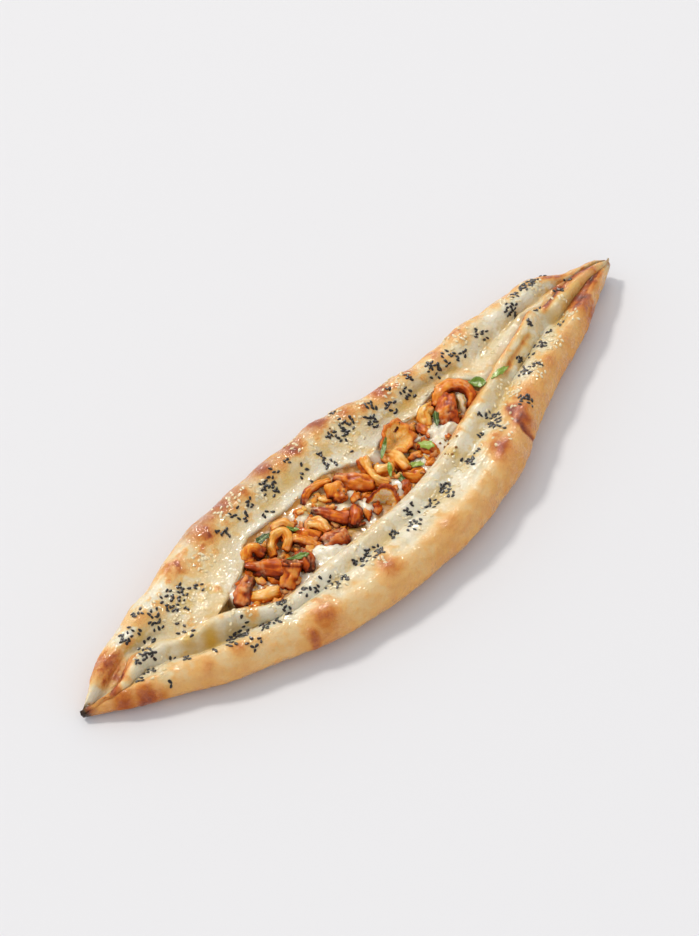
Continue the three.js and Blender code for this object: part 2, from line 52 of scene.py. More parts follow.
# %% [markdown]
# ## Camera
#
# A long lens from 1.8 m away keeps the far tip from shrinking too much. The camera looks at a
# point on the table, from an azimuth (the compass direction round the boat) and an elevation
# (the angle above the table). A quaternion that tracks the line of sight turns it there.

# %% Place the camera
VIEW = {"azimuth": -47.735, "elevation": 50.0, "distance": 1.8, "lens": 118.97}
TARGET = Vector((0.00505, 0.03170, 0.0))

turn, rise = math.radians(VIEW["azimuth"]), math.radians(VIEW["elevation"])
toward_camera = Vector((math.sin(turn) * math.cos(rise), -math.cos(turn) * math.cos(rise), math.sin(rise)))
camera = bpy.data.objects.new("camera", bpy.data.cameras.new("camera"))
camera.data.lens = VIEW["lens"]
camera.data.sensor_width = 36
camera.location = TARGET + VIEW["distance"] * toward_camera
camera.rotation_mode = "QUATERNION"
camera.rotation_quaternion = (-toward_camera).to_track_quat("-Z", "Y")
bpy.context.scene.collection.objects.link(camera)
bpy.context.scene.camera = camera
print("camera at", [round(v, 3) for v in camera.location])

# %% [markdown]
# ## How the materials are written
#
# Colours are picked as sRGB hex values, as on a screen, but a shader works in linear light, so
# `linear` converts them. `add` puts one node in a tree, sets its properties, and fills each
# input with a value or with a link from another node. The short functions after it wrap the
# handful of nodes that every material here uses, and take their sizes in millimetres.

# %% Colour and node helpers
def linear(hex_colour, alpha=1.0):
    """An sRGB hex colour as the linear RGBA that a shader reads."""
    channels = [int(hex_colour[i:i + 2], 16) / 255 for i in (1, 3, 5)]
    return (*[c / 12.92 if c <= 0.04045 else ((c + 0.055) / 1.055) ** 2.4 for c in channels], alpha)


def add(tree, kind, inputs=None, stops=None, **settings):
    """Adds a node. settings are its properties, inputs its values or links, stops a ramp's colours."""
    node = tree.nodes.new(kind)
    for name, value in settings.items():
        setattr(node, name, value)
    for name, value in (inputs or {}).items():
        if isinstance(value, bpy.types.NodeSocket):
            tree.links.new(value, node.inputs[name])
        else:
            node.inputs[name].default_value = value
    if stops:
        ramp = node.color_ramp.elements
        while len(ramp) < len(stops):
            ramp.new(1.0)
        for element, (position, colour) in zip(ramp, stops):
            element.position = position
            element.color = linear(colour)
    return node


def new_material(name):
    """An empty node material, and its tree."""
    material = bpy.data.materials.new(name)
    material.use_nodes = True
    material.node_tree.nodes.clear()
    return material, material.node_tree


print("cream", [round(c, 3) for c in linear("#E8DDB8")])

# %% Short names for the nodes that come back
def attribute(tree, name):
    """A number that is written on the mesh's points."""
    return add(tree, "ShaderNodeAttribute", attribute_name=name).outputs["Fac"]


def grain(tree, place, size, detail, roughness=0.5, distortion=0.0):
    """Noise from 0 to 1, whose lumps are about size millimetres across."""
    texture = add(tree, "ShaderNodeTexNoise", {
        "Vector": place, "Scale": 1 / (size * MM), "Detail": detail, "Roughness": roughness,
        "Distortion": distortion})
    return texture.outputs["Fac"]


def calculate(tree, operation, *values):
    """One step of arithmetic on numbers or links."""
    return add(tree, "ShaderNodeMath", dict(enumerate(values)), operation=operation).outputs["Value"]


def waver(tree, value, texture, strength):
    """A value that a texture from 0 to 1 moves up and down."""
    return calculate(tree, "MULTIPLY_ADD", calculate(tree, "SUBTRACT", texture, 0.5), strength, value)


def remap(tree, value, given, wanted):
    """Takes a value from one range to another, and holds it at the ends of the range."""
    ends = dict(zip(("From Min", "From Max", "To Min", "To Max"), (*given, *wanted)))
    return add(tree, "ShaderNodeMapRange", {"Value": value, **ends}).outputs["Result"]


def ramp(tree, value, stops):
    """The colour that belongs to a value, between those of the stops."""
    return add(tree, "ShaderNodeValToRGB", {"Fac": value}, stops=stops).outputs["Color"]


def blend(tree, share, under, over):
    """A hex colour laid over the colour that is already there."""
    inputs = {"Factor": share, "A": under, "B": linear(over)}
    return add(tree, "ShaderNodeMix", inputs, data_type="RGBA").outputs["Result"]


def bump(tree, height, strength, distance, **under):
    """Shades a height as if it stood distance millimetres proud. under may hold a Normal below it."""
    inputs = {"Strength": strength, "Distance": distance * MM, "Height": height, **under}
    return add(tree, "ShaderNodeBump", inputs).outputs["Normal"]


def close_material(tree, inputs):
    """One Principled surface with these inputs, as the result of the tree."""
    surface = add(tree, "ShaderNodeBsdfPrincipled", inputs)
    add(tree, "ShaderNodeOutputMaterial", {"Surface": surface.outputs["BSDF"]})


print("node helpers:", [helper.__name__ for helper in (attribute, grain, waver, remap, ramp, blend, bump)])

# %% [markdown]
# ## Table and studio light
#
# The boat lies on a plain pale table. One lamp behind its left side, with a slightly soft edge,
# gives the form its light and the shadow on the right. Two more show only as glints on wet
# surfaces. A dome that is bright at the horizon and darker overhead stands for the white walls
# of the studio and fills the shadows.

# %% Make the table
def make_table(reach, colour):
    """A round matte table top, far wider than the boat."""
    material, tree = new_material("matte_white_laminate")
    close_material(tree, {"Base Color": linear(colour), "Roughness": 0.7, "Specular IOR Level": 0.2})
    rim = [(reach * math.cos(a), reach * math.sin(a), 0.0) for a in np.linspace(0, 2 * math.pi, 96, False)]
    mesh = bpy.data.meshes.new("table")
    mesh.from_pydata(rim, [], [tuple(range(len(rim)))])
    mesh.materials.append(material)
    table = bpy.data.objects.new("table", mesh)
    bpy.context.scene.collection.objects.link(table)
    return table


table = make_table(reach=4.0, colour="#DEDEE0")
print("table:", table.name, round(table.dimensions.x, 1), "m across")

# %% Light it
def make_lamp(name, direction, strength, angle):
    """A sun lamp that shines from a direction. Its angle says how soft its shadows are."""
    lamp = bpy.data.objects.new(name, bpy.data.lights.new(name, "SUN"))
    lamp.data.energy = strength
    lamp.data.angle = angle
    lamp.data.color = linear("#FFFAF2")[:3]
    lamp.rotation_mode = "QUATERNION"
    lamp.rotation_quaternion = Vector(direction).to_track_quat("Z", "Y")
    bpy.context.scene.collection.objects.link(lamp)
    return lamp


def make_dome(horizon, zenith):
    """A world that fades from a bright horizon to a dimmer zenith."""
    world = bpy.data.worlds.new("studio")
    world.use_nodes = True
    tree = world.node_tree
    tree.nodes.clear()
    facing = add(tree, "ShaderNodeTexCoord")
    height = add(tree, "ShaderNodeSeparateXYZ", {"Vector": facing.outputs["Generated"]})
    level = remap(tree, height.outputs["Z"], (0.0, 1.0), (horizon, zenith))
    glow = add(tree, "ShaderNodeBackground", {"Color": linear("#FBFCFF"), "Strength": level})
    add(tree, "ShaderNodeOutputWorld", {"Surface": glow.outputs["Background"]})
    bpy.context.scene.world = world


make_lamp("key", direction=(-0.12, 0.62, 0.77), strength=1.52, angle=0.16)
for name, direction, strength, angle in (
        ("glint", (0.40, 0.50, 0.77), 4.0, 0.25), ("window_behind", (0.15, 0.95, 0.28), 1.0, 0.5)):
    make_lamp(name, direction, strength, angle).visible_diffuse = False
make_dome(horizon=1.1, zenith=0.62)
bpy.context.scene.view_settings.view_transform = "Standard"

# %% [markdown]
# ## The form of the dough
#
# The boat could be sculpted, but its form follows a rule: at each place along its length the
# dough has the same kind of section. The section runs from the flat base round the rolled rim,
# down into the hollow of the fold and up to the fold's inner edge. So the boat is a loft, a
# skin drawn over many sections. The sections come from a few curves along the boat, whose key
# points are read off the real thing: outer edge, rim height, hollow height and inner edge.

# %% A smooth curve through key points
def curve(keys):
    """A function through key points (x, value) that never swings past them."""
    at, value = np.array(keys, float).T
    span = np.diff(at)
    rise = np.diff(value) / span
    before, after = rise[:-1], rise[1:]
    same_way = before * after > 0
    middle = np.where(same_way, 2 * before * after / np.where(same_way, before + after, 1), 0)
    slope = np.concatenate([rise[:1], middle, rise[-1:]])

    def along(x):
        x = np.clip(np.asarray(x, float), at[0], at[-1])
        i = np.clip(np.searchsorted(at, x, side="right") - 1, 0, len(span) - 1)
        t = (x - at[i]) / span[i]
        return (value[i] * (2 * t**3 - 3 * t**2 + 1) + value[i + 1] * (3 * t**2 - 2 * t**3)
                + slope[i] * span[i] * (t**3 - 2 * t**2 + t) + slope[i + 1] * span[i] * (t**3 - t**2))

    return along


def smoothstep(low, high, value):
    """0 below low, 1 above high, and a smooth ramp between. low may be the larger."""
    t = np.clip((value - low) / (high - low), 0, 1)
    return t * t * (3 - 2 * t)


def mix(a, b, share):
    return a + (b - a) * share


print("curve check:", curve([(0, 0), (1, 2), (3, 2)])([0.5, 2.0]).round(3))

# %% The boat's measurements, in millimetres
HALF = 225  # half the length
BOW = 19  # both tips bend this far to the left
RIM_RADIUS = 13
BASE_DOUGH = 8.5  # from the table to the floor of the trough
CREVICE = 0.9  # the seam where the right fold lies over the left one
FOLD_STEP = 0.6
LEFT_LIP_TOP = 20.5
UNDERCUT = 1.4
LEAST_LIP = {"thick": 0.4, "undercut": 0.15}

lift = curve([(-225, 2.5), (-205, 0.8), (-190, 0), (190, 0), (205, 1.5), (225, 6)])
LEFT = {
    "sign": 1, "phase": 0.4,
    "edge": curve([
        (-225, 1.5), (-218, 5.5), (-206, 14.5), (-184, 27), (-149, 39), (-104, 55), (-70, 59), (-20, 61.5),
        (15, 59), (45, 50.5), (75, 45.5), (110, 43.5), (140, 40), (155, 36), (170, 34.5), (182, 28),
        (193, 18.5), (205, 13), (216, 8.5), (225, 3)]),
    "rim": curve([
        (-225, 5), (-216, 12), (-200, 19), (-175, 22), (-120, 25), (-60, 27), (60, 27), (150, 25), (172, 24),
        (200, 20), (216, 17), (225, 12.5)]),
    "hollow": curve([
        (-225, 4), (-212, 10), (-198, 15), (-180, 17.5), (-150, 19.5), (-100, 22), (0, 23), (50, 22),
        (100, 20.5), (140, 20), (170, 19), (205, 16), (216, 14.5), (225, 10.5)]),
}
RIGHT = {
    "sign": -1, "phase": 2.1,
    "edge": curve([
        (-225, 1.5), (-214, 8), (-200, 15.5), (-171, 30), (-145, 40.5), (-117, 49), (-87, 57), (-50, 61),
        (0, 61.5), (29, 58), (63, 51.5), (91, 41.3), (117, 32), (142, 25.3), (166, 20.3), (193, 11.8),
        (213, 6), (225, 2.5)]),
    "rim": curve([
        (-225, 5), (-214, 11), (-195, 17), (-170, 21), (-130, 24), (-60, 26), (60, 27), (110, 27), (150, 25),
        (180, 22), (205, 19), (216, 16.5), (225, 12.5)]),
    "hollow": curve([
        (-225, 3.5), (-212, 7), (-198, 9), (-165, 11), (-148, 12.5), (-130, 15), (-110, 18), (-80, 20),
        (90, 20), (118, 18.5), (165, 16.5), (185, 15.5), (205, 15), (216, 14), (225, 10.5)]),
}
right_lip = curve([
    (-225, 0), (-216, -3.2), (-202, -2.3), (-194, 1.9), (-183, 7.4), (-169, 6.3), (-158, -0.4), (-143, -2.7),
    (-127, -9), (-116, -17), (-102, -22), (-69, -19.3), (-8, -18.5), (17, -16), (35, -13), (59, -6.5),
    (91, 0.3), (137, 8), (154, 12), (165, 6.8), (191, 7.3), (225, 0)])
right_lip_top = curve([
    (-225, 4.5), (-214, 10), (-200, 16), (-190, 18), (-176, 16.5), (-158, 19), (-143, 22), (-127, 24),
    (0, 23.5), (80, 25), (125, 27), (145, 27), (158, 24), (170, 24.5), (190, 22), (205, 19.3), (216, 17),
    (225, 12)])
lip_thickness = curve([
    (-225, 0.6), (-212, 2.2), (-195, 2.2), (-180, 1.2), (-170, 1.4), (-140, 3.2), (100, 3.6), (148, 3.6),
    (158, 1.6), (170, 2.6), (195, 2.4), (215, 1.2), (225, 0.6)])
left_lip = curve([
    (-136, -4), (-118, 2.8), (-107, 7.7), (-98, 13.4), (-90, 22), (-78, 25.7), (-47, 25), (-24, 28), (-9, 23),
    (8, 15), (19, 20), (30, 21.7), (50, 17), (64, 20.5), (81, 18.5), (90, 10), (99, -8)])


def centre(x):
    """The line that the boat bends along, as Y over X."""
    return BOW * (np.asarray(x, float) / HALF) ** 2


print("widest:", round(float(LEFT["edge"](-20) + RIGHT["edge"](-20)), 1), "mm")

# %% [markdown]
# ## Sections of the dough
#
# Each side of a section is thirteen key points from the base (0) over the widest place (2), the
# crest of the rim (5), the hollow (7) and the lip of the fold (9 to 11) to the floor (12). The
# number of a key point is handy later on too: it says where on the dough a point lies, and the
# baking is painted by it. At both ends of the boat the right fold lies on top of the left one.

# %% Key points of one section
def measures(x):
    """Lip, lip height, thickness and undercut of both folds at x, and the floor between them."""
    right_at = right_lip(x)
    left_at = np.maximum(left_lip(x), right_at + np.minimum(CREVICE, 0.15 * LEFT["edge"](x)))
    is_open = smoothstep(2, 10, left_at - right_at)
    thick, right_top = lip_thickness(x), right_lip_top(x)
    left_top = mix(right_top - thick - FOLD_STEP, LEFT_LIP_TOP, is_open)
    right = {"lip": -right_at, "top": right_top, "thick": thick, "undercut": UNDERCUT}
    left = {"lip": left_at, "top": left_top, "thick": mix(LEAST_LIP["thick"], thick, is_open),
            "undercut": mix(LEAST_LIP["undercut"], UNDERCUT, is_open)}
    return right, left, mix(left_top - FOLD_STEP, BASE_DOUGH, is_open)


def fold_keys(x, side, fold, floor):
    """Thirteen (distance from the centre line, height) pairs for one side of each section."""
    lip, top, thick = fold["lip"], fold["top"], fold["thick"]
    base, width = lift(x), side["edge"](x)
    radius = np.minimum(RIM_RADIUS, 0.42 * width)
    swelling = (0.6 * np.sin(x / 8.7 + side["phase"] * 3) + 0.45 * np.sin(x / 4.9 + side["phase"] * 7))
    swelling = swelling * smoothstep(8, 30, width)
    edge, rim = width + 0.5 * swelling, side["rim"](x) + swelling
    crest = np.maximum(edge - radius, lip + np.minimum(1.5, 0.15 * width))
    room = crest - lip
    hollow = mix((rim + top) / 2, side["hollow"](x), smoothstep(1, 9, room))
    under = np.minimum(fold["undercut"], 0.4 * room)
    keys = [
        (edge - radius, base), (edge - 0.35 * radius, mix(base, rim, 0.13)), (edge, mix(base, rim, 0.45)),
        (edge - 0.22 * radius, mix(base, rim, 0.8)), (edge - 0.62 * radius, mix(base, rim, 0.965)),
        (crest, rim), (crest - np.minimum(0.45 * radius, 0.25 * room), mix(rim, hollow, 0.35)),
        ((crest + lip) / 2, hollow), (lip + np.minimum(5, 0.3 * room), top + 0.3 * smoothstep(2, 9, room)),
        (lip + np.minimum(0.8, 0.08 * room), top), (lip, top - thick / 2), (lip + under, top - thick),
        (lip + under, floor)]
    return np.array([np.broadcast_arrays(*pair) for pair in keys]).transpose(2, 0, 1)


middle = np.array([0.0])
print("section at the middle:",
      fold_keys(middle, RIGHT, measures(middle)[0], BASE_DOUGH)[0].round(1).tolist())

# %% Draw a smooth line through the key points
def smooth_through(keys, steps):
    """A centripetal Catmull-Rom line through each row of keys, which doesn't loop or overshoot.

    keys is (rows, keys, axes) and steps says how many points each stretch gets. Also returns
    the number of the key point that each new point lies at, such as 2.5 between keys 2 and 3.
    """
    gaps = np.sqrt(np.maximum(np.linalg.norm(np.diff(keys, axis=1), axis=2), 1e-3))
    before, after = 2 * keys[:, :1] - keys[:, 1:2], 2 * keys[:, -1:] - keys[:, -2:-1]
    padded = np.concatenate([before, keys, after], axis=1)
    gaps = np.concatenate([gaps[:, :1], gaps, gaps[:, -1:]], axis=1)[:, :, None]
    line, places = [], []
    for i, count in enumerate(steps):
        p0, p1, p2, p3 = (padded[:, i + k] for k in range(4))
        g0, g1, g2 = (gaps[:, i + k] for k in range(3))
        leave = (p1 - p0) * g1 / g0 - (p2 - p0) * g1 / (g0 + g1) + (p2 - p1)
        arrive = (p2 - p1) - (p3 - p1) * g1 / (g1 + g2) + (p3 - p2) * g1 / g2
        t = (np.arange(count) / count)[None, :, None]
        line.append(p1[:, None] * (2 * t**3 - 3 * t**2 + 1) + p2[:, None] * (3 * t**2 - 2 * t**3)
                    + leave[:, None] * (t**3 - 2 * t**2 + t) + arrive[:, None] * (t**3 - t**2))
        places.append(i + t[0, :, 0])
    return np.concatenate([*line, keys[:, -1:]], axis=1), np.concatenate([*places, [len(steps)]])


STEPS = (4, 8, 9, 7, 8, 8, 12, 13, 6, 4, 4, 2)  # points on each stretch, most where the butter shines
STATIONS = 470

TIP_CROWDING = 0.6  # 0 spaces the sections evenly, towards 1 crowds them at the tips

crowding = TIP_CROWDING * math.pi / 2
places_along = HALF * np.sin(crowding * np.linspace(-1, 1, STATIONS)) / math.sin(crowding)
print("sections:", STATIONS, "of", 2 * sum(STEPS), "points, about",
      round(float(np.diff(places_along).max()), 2), "mm apart at most")

# %% [markdown]
# ## From sections to a mesh
#
# `loft` joins neighbouring sections with four-sided faces and closes both ends with a fan of
# triangles. `make_piece` turns such points and faces into an object. The object stays at the
# origin, unturned and unscaled, and its place is in its mesh. Named numbers on the points
# ("attributes") carry what the material will need, such as how far the dough is baked there.

# %% Mesh helpers
def loft(rings, start, end):
    """Points and outward faces of a closed body through rings of equal count, with two end points."""
    rows, count = rings.shape[:2]
    points = np.concatenate([rings.reshape(-1, 3), [start, end]])
    across = np.arange(count)
    a = (np.arange(rows - 1)[:, None] * count + across).ravel()
    b = (np.arange(rows - 1)[:, None] * count + (across + 1) % count).ravel()
    faces = np.stack([a, b, b + count, a + count], axis=1).tolist()
    last = (rows - 1) * count
    faces += [(int((i + 1) % count), int(i), rows * count) for i in across]
    faces += [(int(last + i), int(last + (i + 1) % count), rows * count + 1) for i in across]
    corners = points[np.array([face[:3] for face in faces])]
    volume = np.einsum("ij,ij->i", corners[:, 0], np.cross(corners[:, 1], corners[:, 2])).sum()
    return points, faces if volume > 0 else [face[::-1] for face in faces]


def mark(mesh, **values):
    """Writes named numbers, or rows of three, on the points of a mesh."""
    for name, rows in values.items():
        rows = np.asarray(rows, np.float32)
        kind, field = ("FLOAT", "value") if rows.ndim == 1 else ("FLOAT_VECTOR", "vector")
        mesh.attributes.new(name, kind, "POINT").data.foreach_set(field, rows.ravel())


def make_piece(name, points, faces, material, **values):
    """An object at the origin from points in millimetres, with named values on its points."""
    mesh = bpy.data.meshes.new(name)
    mesh.from_pydata((np.asarray(points) * MM).tolist(), [], faces)
    mesh.materials.append(material)
    mesh.shade_smooth()
    mark(mesh, **values)
    piece = bpy.data.objects.new(name, mesh)
    bpy.context.scene.collection.objects.link(piece)
    return piece


def read_points(mesh):
    """A mesh's points in millimetres, and the direction that each one faces."""
    points, normals = np.empty(len(mesh.vertices) * 3), np.empty(len(mesh.vertices) * 3)
    mesh.vertices.foreach_get("co", points)
    mesh.vertex_normals.foreach_get("vector", normals)
    return points.reshape(-1, 3) / MM, normals.reshape(-1, 3)


def write_points(mesh, points):
    mesh.vertices.foreach_set("co", (points * MM).ravel())
    mesh.update()


def keep_result(piece, modifier):
    """Makes what a modifier shows the piece's own mesh, and takes the modifier off."""
    shown = piece.evaluated_get(bpy.context.evaluated_depsgraph_get())
    result = bpy.data.meshes.new_from_object(shown)
    piece.modifiers.remove(modifier)
    piece.data = result


def lumps(points, size, octaves=2, shift=0.0):
    """Smooth noise between about -1 and 1, whose lumps are about size millimetres across."""
    offset = Vector((shift, 0, 0))
    return np.array([noise.fractal(Vector(p) / size + offset, 1.0, 2.0, octaves) for p in points])


def hand_in(piece, slot, *nodes):
    """The piece moves with the boat and stands for CAD nodes. slot is not used."""
    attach(piece, "root")
    if nodes:
        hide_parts(*nodes)
    print(f"{piece.name}: {len(piece.data.loop_triangles) or len(piece.data.polygons)} faces")
    return piece


print("noise check:", lumps([(0.3, 0.2, 0.1)], 1.0).round(3))

# %% [markdown]
# ## Where the dough is baked darker
#
# In the oven the folds stay pale under the butter, the rims turn golden, and the thin skin over
# gas bubbles blisters and goes brown. Painting a picture would do, but then the colour could
# slide off the shape. Instead every blister is a place and a size, and it both raises the dough
# and darkens it. `toast` runs from 0, cream, to 1, dark brown.

# %% Blisters, creases and scorched edges
# Each blister: x, y, radius and how dark it is at its middle.
BLISTERS = [
    (-199, 26, 10, 0.58), (-205, 23, 6, 0.50), (-206, 6, 6, 0.26), (-196, -3, 6, 0.36), (-190, -8, 4, 0.20),
    (-130, 42, 8, 0.40), (-136, 38, 4, 0.26), (-101, 45, 8, 0.50), (-108, 41, 5, 0.30), (-92, 50, 6, 0.34),
    (-80, 52, 8, 0.50), (-68, 50, 6, 0.36), (-86, 44, 4, 0.22), (-46, 52, 7, 0.56), (-36, 46, 6, 0.40),
    (-40, 40, 4, 0.24), (-22, 50, 7, 0.44), (-14, 53, 4, 0.24), (1, 54, 7, 0.46), (-5, 48, 5, 0.30),
    (17, 46, 7, 0.44), (28, 43, 5, 0.26), (44, 44, 7, 0.36), (52, 38, 4, 0.20), (65, 41, 7, 0.34),
    (58, 34, 4, 0.14), (86, 40, 5, 0.22), (107, 37, 7, 0.34), (96, 40, 4, 0.20), (140, 33, 5, 0.22),
    (176, 28, 8, 0.40), (168, 33, 5, 0.26), (186, 24, 5, 0.34),
    (-145, -23, 5, 0.24), (-163, -17, 4, 0.16), (-124, -9, 3, 0.24), (-122, -13, 4, 0.24),
    (-97, -43, 8, 0.40), (-108, -45, 4, 0.34), (-101, -38, 4, 0.26), (-88, -40, 4, 0.12), (-48, -45, 8, 0.46),
    (-40, -40, 4, 0.26), (-72, -42, 5, 0.10), (-2, -48, 8, 0.20), (8, -44, 5, 0.14), (58, -36, 8, 0.38),
    (54, -41, 5, 0.26), (64, -31, 4, 0.24), (88, -25, 7, 0.36), (98, -18, 8, 0.34), (84, -32, 6, 0.38),
    (104, -15, 4, 0.24), (128, -12, 8, 0.16), (150, -6, 7, 0.14), (197, 10, 8, 0.26), (181, 6, 9, 0.36),
    (188, 3, 5, 0.26), (207, 13, 6, 0.16), (174, 9, 5, 0.30),
    (-122, 15, 2.4, 0.34), (9, 20, 3, 0.24), (-30, 33, 3, 0.14), (44, 30, 3, 0.14), (76, 27, 3, 0.16),
]
# Each crease, ridge or scorched line: its points, width, how far it stands proud, and its darkness.
# A sunk crease's darkness is partly browning and partly painted shade in the crease.
LINES = [
    ([(89, -17, 22.3), (80, -30, 26), (79, -38, 25), (81, -41, 20), (84, -41.5, 14), (88, -41, 6)],
     1.5, -1.2, 0.40),
    ([(158, 14, 25), (165, 16.7, 24.3), (181, 20.6, 22), (196, 22, 20), (207, 20, 18)], 2.2, 0.9, 0.50),
    ([(-182, 18, 18), (-190, 15.5, 18), (-198, 13.5, 17), (-207, 12.5, 14), (-214, 15, 10), (-222, 17, 6)],
     1.7, 0.4, 0.44),
    ([(-120, -10, 22), (-110, -17, 23), (-102, -21, 23)], 1.6, 0.0, 0.22),
    ([(98, 1, 25), (110, 6, 26), (125, 11.5, 27), (140, 16, 27), (150, 19, 26)], 3.0, 0.9, 0.24),
    ([(104, -2, 25), (114, 2.5, 25), (127, 5, 26), (137, 8, 25)], 2.2, -1.0, 0.52),
    ([(150, 27, 21), (158, 25, 21), (166, 26, 21)], 2.5, -0.8, 0.20),
    ([(-190, -2, 10), (-176, 2, 11), (-162, -4, 12), (-150, -8, 13)], 3.0, -0.7, 0.10),
]
# Each scorched stretch of a fold's edge: the side, from x, to x and how dark.
SCORCHED_LIPS = [
    (1, -104, -84, 0.34), (1, -88, -76, 0.16), (1, -33, -4, 0.26), (1, 2, 16, 0.22), (1, 44, 72, 0.30),
    (-1, -128, -98, 0.18), (-1, -40, -8, 0.22), (-1, 58, 104, 0.32), (-1, 112, 150, 0.24),
    (-1, 155, 182, 0.26), (-1, -183, -170, 0.16),
]
# Each broad stretch that is browner or paler than the rest: side, from x, to x, from key, to key, change.
# The paler stretches on the left rim's outer edge (keys 2 to 5) are partly a painted sheen.
STRETCHES = [
    (-1, -225, -205, 5.0, 9.5, 0.30), (-1, -190, -130, 4.4, 5.8, 0.08), (-1, 50, 90, 4.6, 6.4, 0.20),
    (-1, -90, -60, 5.6, 6.4, 0.08), (-1, 155, 215, 5.2, 6.6, 0.25), (-1, -170, -125, 8.2, 9.6, 0.12),
    (-1, 40, 95, 8.2, 9.6, 0.30), (-1, 155, 220, 8.2, 9.6, 0.22), (-1, 178, 225, 5.5, 9, 0.22),
    (-1, 190, 225, 1, 4.2, -0.25), (-1, -195, -178, 3, 5, -0.10),
    # the paler stretches on the left rim's outer edge, keys 2 to 5, are partly a painted sheen
    (1, -225, -180, 2, 5, -0.30), (1, -225, -206, 5, 9, -0.26), (1, -185, -120, 2.5, 4.8, -0.22),
    (1, 135, 205, 5.1, 7.0, -0.30), (1, -50, 45, 5.9, 8.2, -0.06), (1, -120, 200, 3, 4.3, -0.10),
    (1, 100, 175, 4.4, 6.6, -0.25), (1, 40, 95, 6.8, 8.2, 0.18), (1, -150, -120, 8, 9.5, 0.15),
    (1, -115, 60, 8.2, 9.6, -0.12), (1, -225, -205, 7, 9.6, 0.20),
]
# Where the left rim's outer edge is flushed purple, partly its own colour and partly a painted sheen,
# and where butter has pooled: x, y, radius and strength.
PURPLE_EDGES = [(-97, 60, 17, 1), (-77, 60, 17, 1), (-46, 61, 16, 1), (3, 61, 16, 1), (-20, 62, 13, 1)]
OIL_POOLS = [
    (-176, -3, 7, 0.4), (-160, -8, 9, 0.8), (-157, 5, 6, 0.8), (-147, -4, 7, 1.0), (-158, 14, 10, 0.35),
    (-150, -6, 8, 0.7), (-118, 26, 10, 0.35), (36, -19, 5, 0.9), (41, -23, 4, 0.6), (92, -12, 8, 0.5),
    (100, -6, 6, 0.5), (84, -4, 6, 0.4), (112, 13, 7, 0.4), (132, 6, 7, 0.45), (-60, -27, 6, 0.3),
    (-137, 18, 8, 0.3), (-85, 36, 6, 0.3), (164, 8, 6, 0.6), (172, 11, 6, 0.5), (-30, 40, 6, 0.25),
    (52, 27, 6, 0.4), (20, 30, 5, 0.35), (-168, 22, 8, 0.3), (-100, 30, 6, 0.3), (2, 33, 7, 0.4),
    (72, 33, 7, 0.35), (120, 27, 6, 0.35), (145, 24, 6, 0.4), (188, 14, 6, 0.5), (-140, -20, 6, 0.4),
    (-20, -30, 6, 0.2), (70, -22, 6, 0.3),
]
print(len(BLISTERS), "blisters,", len(LINES), "lines,", len(OIL_POOLS), "pools of butter")

# %% [markdown]
# ## How far each point is baked
#
# The ground tone follows the section: brown at the base, golden on the wall and rim, cream in
# the hollow and a little darker on the lip. Noise breaks it up. Then the lists above are added:
# around each blister, crease or pool the effect fades with distance, and the distance itself is
# bent by noise, so that no spot is round.

# %% How toasted each part of the section is
# By key point, on the front side (-1) and the back (1): where the oven was kind and where it wasn't.
PALE = {
    -1: curve([(0, 0.62), (0.8, 0.50), (2, 0.40), (3, 0.34), (4, 0.29), (5, 0.20), (5.6, 0.12), (6.4, 0.06),
               (8, 0.03), (8.9, 0.09), (9.3, 0.24), (9.8, 0.22), (11, 0.30), (12, 0.20)]),
    1: curve([(0, 0.62), (0.8, 0.50), (2, 0.42), (3, 0.36), (4, 0.26), (5, 0.14), (5.8, 0.09), (6.8, 0.05),
              (8, 0.04), (9, 0.07), (9.6, 0.12), (11, 0.30), (12, 0.20)]),
}
GOLDEN = {
    -1: curve([(0, 0.70), (0.8, 0.58), (2, 0.46), (3, 0.40), (4, 0.36), (5, 0.28), (5.6, 0.18), (6.4, 0.10),
               (8, 0.06), (8.9, 0.13), (9.3, 0.30), (9.8, 0.26), (11, 0.30), (12, 0.20)]),
    1: curve([(0, 0.70), (0.8, 0.62), (2, 0.52), (3, 0.50), (4, 0.46), (5, 0.40), (5.8, 0.34), (6.6, 0.24),
              (7.4, 0.12), (9, 0.08), (9.6, 0.12), (11, 0.30), (12, 0.20)]),
}
print("from base to floor, pale:", PALE[1](np.arange(13)).round(2).tolist())
print("and golden:", GOLDEN[1](np.arange(13)).round(2).tolist())

# %% Painting by place
def band(value, low, low_full, high_full, high):
    """1 between the two inner values, fading to 0 at the two outer ones."""
    return smoothstep(low, low_full, value) * smoothstep(high, high_full, value)


def between(value, start, end, soft):
    """1 from start to end, with both edges soft."""
    return band(value, start - soft, start + soft, end - soft, end + soft)


def near(points, x, y, radius, ragged):
    """1 at the middle of a spot and 0 beyond its edge, the edge made ragged by noise."""
    distance = np.hypot(points[:, 0] - x, points[:, 1] - y) / radius * (1 + 0.5 * ragged)
    return np.exp(-np.abs(distance) ** 2.6)


def strongest(points, spots, ragged):
    """The strongest of all spots at each point. Each spot: x, y, radius and strength."""
    return np.max([strength * near(points, x, y, radius, ragged) for x, y, radius, strength in spots], axis=0)


def beside(points, path, width, ragged):
    """1 on a path and fading to 0 a few widths away."""
    path = np.array(path, float)
    nearest = np.full(len(points), np.inf)
    for a, b in zip(path[:-1], path[1:]):
        share = np.clip((points - a) @ (b - a) / ((b - a) @ (b - a)), 0, 1)
        nearest = np.minimum(nearest, np.linalg.norm(points - (a + share[:, None] * (b - a)), axis=1))
    return np.exp(-((nearest / width * (1 + 0.4 * ragged)) ** 2))


print("a spot's fade:", near(np.array([(0, 0, 0), (5, 0, 0), (9, 0, 0)]), 0, 0, 6, 0).round(2))

# %% Tone and relief of the dough
# How much each unevenness of the oven's heat adds to the tone.
TONE = {"ragged": 0.05, "fine": 0.02, "freckle": 0.16, "front": -0.05, "far_front": 0.09, "tip": 0.05,
        "tip_wall": 0.10}
